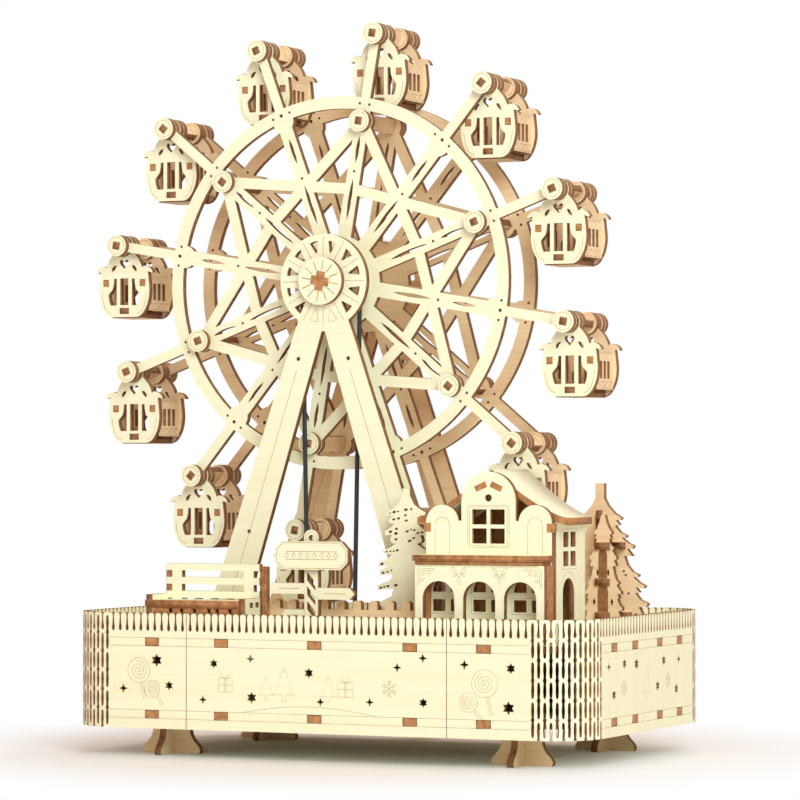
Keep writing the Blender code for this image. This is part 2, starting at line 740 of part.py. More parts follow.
def pulley_profile(belt_radius, bore):
    """A pulley's section: three sheets deep, with the middle one smaller for the belt."""
    rim, floor = belt_radius + FLANGE_RISE, belt_radius - BELT_RADIUS - GAP
    front, back = -PULLEY_DEPTH / 2, PULLEY_DEPTH / 2
    groove = GROOVE_WIDTH / 2
    return [(bore, front), (rim, front), (rim, -groove), (floor, -groove), (floor, groove),
            (rim, groove), (rim, back), (bore, back)]


def belt_lean():
    """How far the strands lean from upright, in degrees, as the pulleys differ in size."""
    return math.degrees(math.asin((UPPER_BELT_RADIUS - LOWER_BELT_RADIUS) / (HUB_HEIGHT - DRIVE_HEIGHT)))


def belt_half_width(height):
    """How far a strand of the belt is from the centre line at this height."""
    share = (height - DRIVE_HEIGHT) / (HUB_HEIGHT - DRIVE_HEIGHT)
    return LOWER_BELT_RADIUS + (UPPER_BELT_RADIUS - LOWER_BELT_RADIUS) * share


def build_belt():
    lean = belt_lean()
    drop = DRIVE_HEIGHT - HUB_HEIGHT
    path = arc((0.0, 0.0), UPPER_BELT_RADIUS, lean - 90.0, 90.0 - lean, 9)
    path += arc((0.0, drop), LOWER_BELT_RADIUS, 90.0 - lean, 270.0 + lean, 9)
    curve = bpy.data.curves.new("drive_belt", "CURVE")
    curve.dimensions = "3D"
    curve.bevel_depth = BELT_RADIUS
    curve.bevel_resolution = 1
    spline = curve.splines.new("POLY")
    spline.points.add(len(path) - 1)
    for point, (x, z) in zip(spline.points, path):
        point.co = (x, 0.0, z, 1.0)
    spline.use_cyclic_u = True
    placed("drive_belt", curve, (0.0, -BELT_OFFSET, HUB_HEIGHT), parent=ROOT, finish=RUBBER)


def build_pulleys():
    place = (0.0, -BELT_OFFSET, 0.0)
    upper = lathe("upper_pulley", pulley_profile(UPPER_BELT_RADIUS, 0.0), place, WHEEL)
    cross = turned(cross_outline(AXLE_WIDTH + 2 * GAP, PLY + 2 * GAP), WHEEL_PHASE)
    hole = cutter(sheet("pulley_bore", [cross], place, "front", 2 * PULLEY_DEPTH, WHEEL))
    united("upper_pulley", [upper], [hole])
    bore = SHAFT_RADIUS + GAP
    profile = pulley_profile(LOWER_BELT_RADIUS, bore)
    lathe("lower_pulley", profile + profile[:1], place, DRIVE)


def build_crank():
    bracket_y = -FRAME_OFFSET + HALF_PLY
    low, high = LOWER_DECK + GAP, UPPER_DECK - PLY - GAP
    plate = rectangle(-BRACKET_WIDTH / 2, low, BRACKET_WIDTH / 2, high)
    bore = circle((0.0, DRIVE_HEIGHT), SHAFT_RADIUS + GAP, 12)
    sheet("shaft_bracket", [plate, bore], (0.0, bracket_y, 0.0), parent=ROOT)
    start, end = bracket_y - HALF_PLY, CRANK_Y + HALF_PLY
    rod = [(0.0, start), (SHAFT_RADIUS, start), (SHAFT_RADIUS, end), (0.0, end)]
    lathe("drive_shaft", rod, (0.0, 0.0, 0.0), DRIVE, 12)
    arm = arc((0.0, 0.0), CRANK_ROUND, -90.0, 90.0, 6)
    arm += arc((0.0, -CRANK_LENGTH), CRANK_ROUND * 0.8, 90.0, 270.0, 6)
    holes = [circle((0.0, 0.0), SHAFT_RADIUS + GAP, 12),
             circle((0.0, -CRANK_LENGTH), KNOB_PIN_RADIUS + GAP, 12)]
    sheet("crank_arm", [arm] + holes, (0.0, CRANK_Y, 0.0), parent=DRIVE)
    head = CRANK_Y - HALF_PLY - GAP
    neck = CRANK_Y + HALF_PLY + GAP
    knob = [(0.0, head - 0.9 * MM), (KNOB_PIN_RADIUS + 1.2 * MM, head - 0.9 * MM),
            (KNOB_PIN_RADIUS + 1.2 * MM, head), (KNOB_PIN_RADIUS, head), (KNOB_PIN_RADIUS, neck),
            (KNOB_RADIUS * 0.8, neck), (KNOB_RADIUS, neck + KNOB_LENGTH * 0.3),
            (KNOB_RADIUS * 0.85, KNOB_END - KNOB_LENGTH * 0.12), (KNOB_RADIUS * 0.55, KNOB_END),
            (0.0, KNOB_END)]
    lathe("crank_knob", knob, (0.0, 0.0, -CRANK_LENGTH), DRIVE, 16)


# Wheel


def arm_window_loops(first, tie_first):
    """The openings of one sector, between the arm at this angle and the next arm."""
    second = first + ARM_STEP
    sector = arc((0.0, 0.0), RING_INNER, first, second, RING_STEPS)
    sector += arc((0.0, 0.0), HUB_PLATE_RADIUS, second, first, 2)
    for angle, sign in ((first, 1.0), (second, -1.0)):
        across = polar(sign, angle + 90.0)
        edge = (across[0] * ARM_WIDTH / 2, across[1] * ARM_WIDTH / 2)
        sector = clipped(sector, edge, across)
    tie, far_tie = (first, first + 2 * ARM_STEP) if tie_first else (second, second - 2 * ARM_STEP)
    loops = split_by_strip([sector], polar(TIE_RADIUS, tie), polar(STRIP_END_RADIUS, far_tie), STRIP_WIDTH)
    loops = split_by_strip(loops, polar(TIE_RADIUS, far_tie), polar(STRIP_END_RADIUS, tie), STRIP_WIDTH)
    for angle in (first, second):
        loops = [bitten(loop, polar(TIE_RADIUS, angle), LOBE_RADIUS) for loop in loops]
    return loops


def wheel_outline():
    """The ring's outer edge, broken by twelve arms with round tips."""
    half = ARM_TIP_WIDTH / 2
    lean = math.degrees(math.asin(half / RING_OUTER))
    tip_lean = math.degrees(math.asin(half / DISC_RADIUS))
    loop = []
    for angle in ARM_ANGLES:
        loop += [turned(arc((0.0, ROD_RADIUS), DISC_RADIUS, tip_lean - 180.0, 180.0 - tip_lean, 6), angle)][0]
        loop += arc((0.0, 0.0), RING_OUTER, angle + lean, angle + ARM_STEP - lean, RING_STEPS)
    return loop


def wheel_plate_loops():
    square = rectangle(-TENON / 2 - GAP, -TENON / 2 - GAP, TENON / 2 + GAP, TENON / 2 + GAP)
    loops = [wheel_outline(), turned(cross_outline(AXLE_WIDTH + 2 * GAP, PLY + 2 * GAP), WHEEL_PHASE)]
    for k, angle in enumerate(ARM_ANGLES):
        loops += arm_window_loops(angle, k % 2 == 0)
        loops.append(turned(moved(square, 0.0, ROD_RADIUS), angle))
        if k % 2 == 0:
            loops.append(turned(moved(square, 0.0, TIE_RADIUS), angle))
    return loops


def build_wheel():
    for name, side in (("wheel_front_plate", -1.0), ("wheel_rear_plate", 1.0)):
        y = side * (WHEEL_PLATE_OFFSET - HALF_PLY)
        sheet(name, wheel_plate_loops(), (0.0, y, 0.0), parent=WHEEL)


def rod_mesh(name, shoulder):
    """A flat bar with a square tenon at each end, and a disc on each tenon."""
    half, flat = TENON / 2, ROD_FLAT / 2
    end = ROD_HALF_LENGTH + TENON_PROUD
    right = [(half, end), (half, shoulder), (flat, shoulder),
             (flat, -shoulder), (half, -shoulder), (half, -end)]
    bar = sheet(name, [mirrored(right)], (0.0, 0.0, 0.0), "up", TENON)
    bar.rotation_euler = (0.0, math.radians(90), 0.0)
    discs = []
    for side in (-1.0, 1.0):
        y = side * (ROD_HALF_LENGTH - HALF_PLY)
        discs.append(sheet(name + "_disc", [circle((0.0, 0.0), DISC_RADIUS, DISC_STEPS)], (0.0, y, 0.0)))
    whole = united(name, [discs[0], bar, discs[1]])
    bpy.context.view_layer.update()
    mesh = whole.data
    mesh.transform(whole.matrix_world)
    bpy.data.objects.remove(whole)
    return mesh


def build_rods():
    gondola_rod = rod_mesh("gondola_rod", CABIN_HALF_DEPTH - PLY - GAP)
    tie_rod = rod_mesh("tie_rod", WHEEL_PLATE_OFFSET - PLY - GAP)
    for k, angle in enumerate(ARM_ANGLES):
        x, z = polar(ROD_RADIUS, angle)
        turn = (0.0, math.radians(angle), 0.0)
        placed(f"gondola_rod_{k + 1:02d}", gondola_rod, (x, 0.0, z), turn, WHEEL)
        if k % 2 == 0:
            x, z = polar(TIE_RADIUS, angle)
            placed(f"tie_rod_{k // 2 + 1}", tie_rod, (x, 0.0, z), turn, WHEEL)


# Cabins


def cabin_plate_loops():
    """Front or rear of a cabin: a hanger head, a dome, eaves and a rounded belly."""
    reach = (CABIN_DOME_DROP ** 2 + CABIN_HEAD_RADIUS ** 2 - CABIN_DOME_RADIUS ** 2) / (2 * CABIN_DOME_DROP)
    head_end = math.degrees(math.acos(-reach / CABIN_HEAD_RADIUS))
    dome_start = math.degrees(math.acos((CABIN_DOME_DROP - reach) / CABIN_DOME_RADIUS))
    dome_end = math.degrees(math.acos((CABIN_DOME_DROP - CABIN_EAVE_DROP) / CABIN_DOME_RADIUS))
    half = arc((0.0, 0.0), CABIN_HEAD_RADIUS, 0.0, head_end, 3)
    half += arc((0.0, -CABIN_DOME_DROP), CABIN_DOME_RADIUS, dome_start, dome_end, 2)[1:]
    half += [(CABIN_EAVE_TIP, -CABIN_EAVE_BOTTOM), (CABIN_HALF_WIDTH, -CABIN_EAVE_BOTTOM)]
    corner = (CABIN_HALF_WIDTH - CABIN_CORNER, -CABIN_BOTTOM + CABIN_CORNER)
    half += arc(corner, CABIN_CORNER, 90.0, 180.0, 3)
    inner = WINDOW_HALF + WINDOW_BAR
    middle = (WINDOW_TOP + WINDOW_BOTTOM) / 2
    pane = [(inner, -WINDOW_TOP), (inner + WINDOW_HALF * 0.6, -WINDOW_TOP),
            (WINDOW_REACH, -middle - 1.5 * MM), (WINDOW_REACH * 0.76, -WINDOW_BOTTOM),
            (inner, -WINDOW_BOTTOM)]
    left_pane = [(-x, z) for x, z in pane]
    centre = rectangle(-WINDOW_HALF, -WINDOW_BOTTOM, WINDOW_HALF, -WINDOW_TOP)
    return [mirrored(half), circle((0.0, 0.0), CABIN_BORE_RADIUS, 8), centre, pane, left_pane]


def cabin_mesh():
    front_y = CABIN_HALF_DEPTH - HALF_PLY
    plates = [sheet("cabin_plate", cabin_plate_loops(), (0.0, side * front_y, 0.0)) for side in (-1.0, 1.0)]
    outer, inner = CABIN_WALL_HALF, CABIN_WALL_HALF - PLY
    low, high, top = -CABIN_FLOOR_DROP, -CABIN_FLOOR_DROP + PLY, -CABIN_WALL_TOP
    trough = [(-outer, top), (-inner, top), (-inner, high), (inner, high),
              (inner, top), (outer, top), (outer, low), (-outer, low)]
    between = 2 * (CABIN_HALF_DEPTH - PLY + SHEET_BITE)
    walls = sheet("cabin_walls", [trough], (0.0, 0.0, 0.0), "front", between)
    whole = united("cabin", [plates[0], walls, plates[1]])
    bpy.context.view_layer.update()
    mesh = whole.data
    mesh.transform(whole.matrix_world)
    bpy.data.objects.remove(whole)
    return mesh


def build_cabins():
    mesh = cabin_mesh()
    for k, angle in enumerate(ARM_ANGLES):
        x, z = polar(ROD_RADIUS, angle)
        placed(f"gondola_{k + 1:02d}", mesh, (x, 0.0, z), parent=WHEEL)


# Shop


def arch_hole(x, width, bottom, top, steps=6):
    """An opening with straight sides and a half-round head."""
    radius = width / 2
    head = arc((x, top - radius), radius, -90.0, 90.0, steps)
    return [(x - radius, bottom)] + head + [(x + radius, bottom)]


def facade_loops():
    """The shop's front: a tall round gable between two lower ones, with a window."""
    base = FLOOR_OF_DECK
    lobe_left = GABLE_RADIUS + NOTCH_WIDTH
    lobe_radius = (SHOP_HALF_WIDTH - lobe_left) / 2
    half = arc((0.0, GABLE_TOP - GABLE_RADIUS), GABLE_RADIUS, 0.0, 90.0, 5)
    half += [(GABLE_RADIUS, GABLE_NOTCH), (lobe_left, GABLE_NOTCH)]
    lobe_centre = (lobe_left + lobe_radius, LOBE_ARCH_TOP - lobe_radius)
    half += arc(lobe_centre, lobe_radius, -90.0, 90.0, 6)
    half += [(SHOP_HALF_WIDTH, base)]
    panes = []
    w, c = UPPER_WINDOW / 2, WINDOW_CROSS / 2
    low = UPPER_WINDOW_TOP - UPPER_WINDOW_HEIGHT
    middle = low + UPPER_WINDOW_HEIGHT / 2
    for left, right in ((-w, -c), (c, w)):
        panes.append(rectangle(left, low, right, middle - c))
        panes.append(rectangle(left, middle + c, right, UPPER_WINDOW_TOP))
    for x in (-ARCH_PITCH, 0.0, ARCH_PITCH):
        panes.append(rectangle(x - w / 2, base + 9.0 * MM, x + w / 2, base + 20.0 * MM))
    return [mirrored(half)] + panes


def build_shop():
    base = FLOOR_OF_DECK
    facade_y = SHOP_FRONT_Y + HALF_PLY
    facade = sheet("shop_facade", facade_loops(), (SHOP_X, facade_y, 0.0), parent=ROOT)
    arches = [arch_hole(x, 2 * ARCH_RADIUS, base - PLY, ARCH_TOP) for x in (-ARCH_PITCH, 0.0, ARCH_PITCH)]
    ledge_top = LEDGE_HEIGHT + SHEET_BITE
    front = rectangle(-ARCADE_HALF_WIDTH, base, ARCADE_HALF_WIDTH, ledge_top)
    arcade = sheet("shop_arcade", [front], (SHOP_X, ARCADE_Y + HALF_PLY, 0.0), parent=ROOT)
    arch_cut = []
    for arch in arches:
        made = sheet("arch_opening", [arch], (SHOP_X, ARCADE_Y + HALF_PLY, 0.0), "front", 2 * PLY, ROOT)
        arch_cut.append(cutter(made))
    arcade = united("shop_arcade", [arcade], arch_cut)
    ledge_front = ARCADE_Y - LEDGE_OVERHANG
    ledge = board("shop_ledge", (SHOP_X - LEDGE_HALF_WIDTH, ledge_front, LEDGE_HEIGHT),
                  (SHOP_X + LEDGE_HALF_WIDTH, SHOP_FRONT_Y + SHEET_BITE,
                   LEDGE_HEIGHT + LEDGE_THICKNESS), ROOT)
    pieces = [facade, arcade, ledge]
    wall_front = SHOP_FRONT_Y + PLY - SHEET_BITE
    middle_y = (SHOP_FRONT_Y + PLY + SHOP_BACK_Y) / 2
    door = arch_hole(middle_y, DOOR_WIDTH, base - PLY, DOOR_TOP)
    panes = [rectangle(middle_y - PANE_WIDTH / 2, PANE_BOTTOM, middle_y - WINDOW_CROSS / 2, PANE_TOP),
             rectangle(middle_y + WINDOW_CROSS / 2, PANE_BOTTOM, middle_y + PANE_WIDTH / 2, PANE_TOP)]
    for side in (-1.0, 1.0):
        outline = rectangle(wall_front, base, SHOP_BACK_Y, SHOP_WALL_TOP)
        x = SHOP_X + side * (SHOP_WALL_HALF - HALF_PLY)
        pieces.append(sheet("shop_side", [outline] + panes, (x, 0.0, 0.0), "side", parent=ROOT))
    inner = SHOP_WALL_HALF - PLY + SHEET_BITE
    back = rectangle(-inner, base, inner, SHOP_WALL_TOP)
    pieces.append(sheet("shop_back", [back], (SHOP_X, SHOP_BACK_Y - HALF_PLY, 0.0), parent=ROOT))
    for side in (-1.0, 1.0):
        x = SHOP_X + side * (ARCADE_HALF_WIDTH - HALF_PLY)
        low = (x - HALF_PLY, ARCADE_Y + PLY - SHEET_BITE, base)
        high = (x + HALF_PLY, SHOP_FRONT_Y + SHEET_BITE, ledge_top)
        pieces.append(board("arcade_end", low, high, ROOT))
    doorway = cutter(sheet("shop_door", [door], (SHOP_X + SHOP_WALL_HALF, 0.0, 0.0), "side", 4 * PLY, ROOT))
    united("shop_walls", pieces, [doorway])


def build_shop_roof():
    """Two wings that sweep down from the ridge, as one bent sheet."""
    def height(x):
        return ROOF_RIDGE - ROOF_DROP * (1.0 - (1.0 - x / ROOF_HALF_WIDTH) ** ROOF_SWOOP)

    xs = [ROOF_HALF_WIDTH * step / ROOF_STEPS for step in range(ROOF_STEPS + 1)]
    top = [(x, height(x)) for x in xs]
    under = [(x, height(x) - PLY) for x in reversed(xs)]
    outline = mirrored_open(top, under)
    front, back = SHOP_FRONT_Y + PLY + GAP, ROOF_BACK_Y
    sheet("shop_roof", [outline], (SHOP_X, (front + back) / 2, 0.0), "front", back - front, ROOT)


def mirrored_open(top, under):
    """The outline of a bent sheet from its right half's upper and lower edges."""
    left_top = [(-x, z) for x, z in reversed(top) if x > WELD]
    left_under = [(-x, z) for x, z in reversed(under) if x > WELD]
    return left_top + top + under + left_under


# Playground


def build_bench():
    base = FLOOR_OF_DECK
    w, post = BENCH_WIDTH / 2, BENCH_POST_X + BENCH_POST_WIDTH / 2
    inner_post = BENCH_POST_X - BENCH_POST_WIDTH / 2
    half, windows = [], []
    for slat in range(3):
        top = BENCH_TOP - slat * BENCH_SLAT_PITCH
        half += [(w, top), (w, top - BENCH_SLAT), (post, top - BENCH_SLAT)]
        if slat < 2:
            below = top - BENCH_SLAT_PITCH
            half.append((post, below))
            windows.append(rectangle(-inner_post, below, inner_post, top - BENCH_SLAT))
    half += [(post, base), (inner_post, base), (inner_post, BENCH_SEAT)]
    back_y = BENCH_BACK_Y
    back = sheet("bench_back", [mirrored(half)] + windows, (BENCH_X, back_y, 0.0), parent=ROOT)
    seat_back = back_y - HALF_PLY + SHEET_BITE
    seat_low = (BENCH_X - w, back_y - HALF_PLY - BENCH_DEPTH, BENCH_SEAT - PLY)
    seat = board("bench_seat", seat_low, (BENCH_X + w, seat_back, BENCH_SEAT), ROOT)
    ends = []
    for side in (-1.0, 1.0):
        x = BENCH_X + side * BENCH_POST_X
        low = (x - HALF_PLY, back_y - HALF_PLY - BENCH_DEPTH + PLY, base)
        ends.append(board("bench_leg", low, (x + HALF_PLY, seat_back, BENCH_SEAT - PLY + SHEET_BITE), ROOT))
    united("bench", [back, seat] + ends)


def arrow_loop(direction, length, height):
    """A finger board that starts at the post and points to one side."""
    tip = height * 0.45
    points = [(0.0, 0.0), (length - tip, 0.0), (length, height / 2), (length - tip, height), (0.0, height)]
    return [(direction * x, z) for x, z in points]


def build_signpost():
    base = FLOOR_OF_DECK
    half = SIGN_POST_WIDTH / 2
    ring_half = 180.0 - math.degrees(math.asin(min(0.95, 0.6 * half / SIGN_RING_RADIUS)))
    ring = arc((0.0, SIGN_RING_HEIGHT), SIGN_RING_RADIUS, 0.0, ring_half, 6)
    outline = mirrored(ring + [(half, SIGN_BOARD_BOTTOM), (half, base)])
    hole = circle((0.0, SIGN_RING_HEIGHT), SIGN_RING_RADIUS * 0.42, 10)
    post = sheet("sign_post", [outline, hole], (SIGN_X, SIGN_Y, 0.0), parent=ROOT)
    w, c, top = SIGN_BOARD_WIDTH / 2, SIGN_BOARD_CORNER, SIGN_BOARD_BOTTOM + SIGN_BOARD_HEIGHT
    low = SIGN_BOARD_BOTTOM
    octagon = mirrored([(w - c, top), (w, top - c), (w, low + c), (w - c, low)])
    board_y = SIGN_Y - PLY + SHEET_BITE
    pieces = [post, sheet("sign_board", [octagon], (SIGN_X, board_y, 0.0), parent=ROOT)]
    bite = half - SHEET_BITE
    for name, direction, z, length in (
        ("arrow_left", -1.0, ARROW_LEFT_HEIGHT, ARROW_LENGTH),
        ("arrow_right", 1.0, ARROW_RIGHT_HEIGHT, ARROW_LENGTH),
        ("plaque_left", -1.0, PLAQUE_HEIGHT, ARROW_LENGTH * 0.75),
    ):
        loop = moved(arrow_loop(direction, length, ARROW_HEIGHT), direction * bite, z)
        pieces.append(sheet(name, [loop], (SIGN_X, SIGN_Y, 0.0), parent=ROOT))
    united("signpost", pieces)


def build_fence():
    """A low wall with battlements, and small square lights along its left half."""
    base = FLOOR_OF_DECK
    loop = [(FENCE_RIGHT, base), (FENCE_LEFT, base)]
    count = int((FENCE_RIGHT - FENCE_LEFT) / FENCE_PITCH)
    for k in range(count):
        left = FENCE_LEFT + k * FENCE_PITCH
        notch = left + FENCE_MERLON
        loop += [(left, FENCE_TOP), (notch, FENCE_TOP), (notch, FENCE_TOP - FENCE_NOTCH_DEPTH)]
        loop.append((left + FENCE_PITCH, FENCE_TOP - FENCE_NOTCH_DEPTH))
    loop += [(FENCE_LEFT + count * FENCE_PITCH, FENCE_TOP), (FENCE_RIGHT, FENCE_TOP)]
    sheet("fence", [loop], (0.0, FENCE_Y, 0.0), parent=ROOT)


def tree_loop(height, radius):
    """A fir's outline: tiers of drooping branches that widen downwards."""
    half = [(PLY * 0.6, height), (PLY * 0.6, height * 0.96)]
    for tier in range(1, TREE_TIERS + 1):
        low = height * (1.0 - tier / (TREE_TIERS + 0.6))
        reach = radius * tier / TREE_TIERS
        half += [(reach, low), (reach * 0.72, low + height * 0.012)]
    half += [(radius * 0.62, height * 0.02), (radius * 0.62, 0.0)]
    return mirrored(half)


def build_tree(name, place, height, radius, depth):
    middle = (place[0], place[1], FLOOR_OF_DECK)
    along = sheet(name, [tree_loop(height, radius)], middle, parent=ROOT)
    across = sheet(name + "_cross", [tree_loop(height, depth)], middle, "side", parent=ROOT)
    united(name, [along, across])


build_decks()
build_walls()
build_feet()
build_a_frames()
build_axle()
build_pulleys()
build_belt()
build_crank()
build_wheel()
build_rods()
build_cabins()
build_shop()
build_shop_roof()
build_bench()
build_signpost()
build_fence()
build_tree("large_tree", LARGE_TREE, LARGE_TREE_HEIGHT, LARGE_TREE_RADIUS, LARGE_TREE_RADIUS)
build_tree("small_tree", SMALL_TREE, SMALL_TREE_HEIGHT, SMALL_TREE_RADIUS, SMALL_TREE_DEPTH)
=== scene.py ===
"""Looks of a wooden ferris wheel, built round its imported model.

Nearly every piece is a flat one, cut from plywood by laser. Its outline and its holes are drawn
as closed loops in the sheet's own plane, in millimetres, and cut_sheet gives them the sheet's
thickness. A piece is then bent or turned into its place, and rides on a body of the model.
In places, X runs to the right and Y to the back from the wheel's hub, and Z up from the floor.
Angles are in degrees, clockwise from straight up as the sheet is seen.
"""

import json
import math

import bpy
from bpy.props import FloatProperty, FloatVectorProperty, IntProperty, PointerProperty
from mathutils import Matrix, Vector


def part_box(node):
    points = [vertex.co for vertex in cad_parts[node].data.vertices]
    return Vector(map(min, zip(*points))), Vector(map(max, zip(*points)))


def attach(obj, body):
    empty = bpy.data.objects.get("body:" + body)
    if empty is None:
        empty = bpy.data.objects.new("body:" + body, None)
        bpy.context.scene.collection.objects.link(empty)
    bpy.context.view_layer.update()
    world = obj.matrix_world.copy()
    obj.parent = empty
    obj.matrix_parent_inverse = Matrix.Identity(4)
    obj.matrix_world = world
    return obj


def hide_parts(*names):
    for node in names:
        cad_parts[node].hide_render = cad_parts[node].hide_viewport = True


bl_info = {
    "name": "Wooden ferris wheel",
    "version": (1, 0, 0),
    "blender": (4, 5, 0),
    "location": "View3D > Sidebar > Ferris wheel",
    "description": "Builds the looks of a laser-cut wooden ferris wheel on its playground base",
    "category": "Object",
}

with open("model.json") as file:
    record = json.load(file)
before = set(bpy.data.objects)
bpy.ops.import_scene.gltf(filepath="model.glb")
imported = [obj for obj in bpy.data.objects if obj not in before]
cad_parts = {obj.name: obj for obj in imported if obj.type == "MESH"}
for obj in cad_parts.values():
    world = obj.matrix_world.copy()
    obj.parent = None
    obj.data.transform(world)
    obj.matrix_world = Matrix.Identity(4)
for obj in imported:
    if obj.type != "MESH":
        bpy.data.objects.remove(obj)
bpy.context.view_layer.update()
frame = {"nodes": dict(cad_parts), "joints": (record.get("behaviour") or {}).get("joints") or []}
NODES = frame["nodes"]
JOINTS = {joint["name"]: joint for joint in frame["joints"]}

MM = 0.001
PLY = 3.0
HALF_PLY = PLY / 2
GAP = 0.3
SIDES = (-1.0, 1.0)
FACES = (HALF_PLY, -HALF_PLY)
HUB = Vector(JOINTS["wheel_spin"]["pos_m"]) / MM
ORIGIN = Vector((HUB.x, HUB.y, 0.0))
CABIN_COUNT = 12
ARM_STEP = 360.0 / CABIN_COUNT
PHASE = 9.8
ARM_ANGLES = [PHASE + ARM_STEP * k for k in range(CABIN_COUNT)]
AXLE_WIDTH, AXLE_BAR = 8.1, 3.6
AXES = {
    "front": Matrix(((1, 0, 0), (0, 0, -1), (0, 1, 0))).to_4x4(),
    "back": Matrix(((-1, 0, 0), (0, 0, 1), (0, 1, 0))).to_4x4(),
    "right": Matrix(((0, 0, 1), (1, 0, 0), (0, 1, 0))).to_4x4(),
    "up": Matrix.Identity(4),
    "edgeways": Matrix(((0, 0, 1), (0, 1, 0), (-1, 0, 0))).to_4x4(),
}


# Sizes and colours


def length(name, description, millimetres):
    """A length that the user may change; Blender keeps it in metres."""
    return FloatProperty(
        name=name, description=description, default=millimetres * MM, min=0.0,
        precision=5, subtype="DISTANCE", unit="LENGTH",
    )


def colour(name, description, red, green, blue):
    return FloatVectorProperty(
        name=name, description=description, default=(red, green, blue),
        min=0.0, max=1.0, size=3, subtype="COLOR",
    )


class Millimetres:
    """The lengths of a group of sizes, in millimetres, and its other values as they are."""

    def __init__(self, group):
        for name in group.__annotations__:
            value = getattr(group, name)
            setattr(self, name, value / MM if isinstance(value, float) else value)


class WoodColours(bpy.types.PropertyGroup):
    """What the plywood and the belt look like."""

    face: colour("Face", "The sheet's pale face", 0.91, 0.955, 0.725)
    # Painted shade: the face given to the pieces that stand in shadow further in
    inner: colour("Inner face", "The warmer face of the plates further in", 0.93, 0.755, 0.50)
    grain: colour("Grain", "The darker lines of the grain", 0.86, 0.76, 0.50)
    edge: colour("Tab end", "The end of a tab, cut across its layers", 0.56, 0.27, 0.10)
    cut: colour("Cut edge", "The edge along a sheet, as the laser leaves it", 0.34, 0.165, 0.068)
    char: colour("Char", "The most burnt parts of an edge", 0.15, 0.052, 0.017)
    ink: colour("Engraving", "Lines drawn by the laser", 0.42, 0.27, 0.11)
    rubber: colour("Belt", "The round belt", 0.02, 0.02, 0.024)
    worn: colour("Worn belt", "Where the belt is rubbed pale", 0.07, 0.07, 0.075)


class BaseSizes(bpy.types.PropertyGroup):
    """The walls round the base, and its feet."""

    corner: length("Corner", "Outer radius of the bent corners", 22.0)
    panel: length("Front panel", "Width of the flat panel between two seams", 117.2)
    fringe: length("Fringe", "Distance between the gaps along the top edge", 3.26)
    row: length("Hinge row", "Height of one row of slits in a bent corner", 7.95)
    tab: length("Deck tab", "Width of the decks' tabs in the walls", 5.9)
    columns: IntProperty(name="Hinge columns", description="Columns of slits in a corner",
                         default=14, min=2)
    sole: length("Foot", "Width of a foot's sole", 27.0)
    neck: length("Foot neck", "Width of a foot under the deck", 17.4)


class WheelSizes(bpy.types.PropertyGroup):
    """The wheel's two plates, the rods between them and the A-frames."""

    rod_radius: length("Rod circle", "Distance of the cabins' rods from the hub", 106.0)
    tie_radius: length("Tie circle", "Distance of the tie rods from the hub", 68.8)
    ring_outer: length("Ring outside", "Outer radius of the ring", 78.8)
    ring_inner: length("Ring inside", "Inner radius of the ring", 73.5)
    hub: length("Hub", "Radius of the plate round the axle", 20.0)
    arm: length("Arm", "Width of an arm inside the ring", 6.2)
    tip: length("Arm tip", "Width of an arm outside the ring", 4.2)
    strip: length("Lattice", "Width of the crossing strips", 4.6)
    strip_end: length("Lattice end", "Where the strips start, from the hub", 40.0)
    disc: length("Disc", "Radius of the discs on the rods", 4.7)
    lobe: length("Lobe", "Radius of the sheet round a tie rod, and of the ring's lobes", 4.8)
    leg: length("Leg", "Width of an A-frame's leg at its upper end", 12.6)
    crotch: length("Crotch", "Drop from the hub to the start of the legs", 21.0)


class CabinSizes(bpy.types.PropertyGroup):
    """A cabin, measured from the rod that carries it."""

    depth: length("Depth", "Depth of a cabin over its two plates", 24.0)
    head: length("Head", "Radius of the ring round the rod", 4.6)
    wall: length("Wall", "Distance of the side walls' outer faces from the middle", 10.7)
    floor: length("Floor", "Drop from the rod to the underside of the floor", 31.0)


class PlaygroundSizes(bpy.types.PropertyGroup):
    """The shop and what stands round it; heights are above the floor."""

    width: length("Shop", "Width of the shop's gabled front", 55.2)
    gable: length("Gable", "Radius of the round gable", 11.9)
    gable_top: length("Gable top", "Height of the gable's top", 118.4)
    lobe_top: length("Side gables", "Height of the two lower gables", 105.0)
    notch: length("Notch", "Width of the gap between two gables", 1.2)
    window: length("Window", "Width of the window under the gable", 14.2)
    window_height: length("Window height", "Height of the window under the gable", 13.8)
    ledge: length("Ledge", "Height of the ledge's underside", 80.9)
    arch: length("Arch", "Radius of the arches", 7.0)
    arch_pitch: length("Arch pitch", "Distance between two arches", 17.8)
    arch_top: length("Arch top", "Height of the arches' tops", 74.4)
    wall_top: length("Side wall", "Height of the side walls' tops", 98.0)
    eaves: length("Eaves", "Width of the roof over its eaves", 66.0)
    ridge: length("Ridge", "Height of the roof's ridge", 119.3)
    roof_drop: length("Roof drop", "Drop from the ridge to the eaves", 19.4)
    bench: length("Bench", "Width of the bench's back", 43.6)
    seat: length("Bench seat", "Height of the bench's seat", 65.2)
    post: length("Signpost", "Width of the signpost", 6.2)
    board: length("Board", "Width of the signpost's board", 33.0)
    board_low: length("Board's underside", "Height of the board's underside", 78.2)
    board_height: length("Board height", "Height of the board", 11.6)
    fence_top: length("Fence", "Height of the fence's battlements", 65.4)


class StudioLight(bpy.types.PropertyGroup):
    """The lamps and the surroundings."""

    key: FloatProperty(name="Key lamp", description="Power of the large front lamp",
                       default=8.7, min=0.0, unit="POWER")
    sky: FloatProperty(name="Sky", description="Strength of the light from all round",
                       default=0.44, min=0.0)
    tint: colour("Sky's colour", "Light that comes back warm from the wood and the room",
                 1.0, 0.49, 0.26)
    lamp: colour("Lamps' colour", "A little cool, against the warm sky", 0.90, 1.0, 0.98)


# Finishes


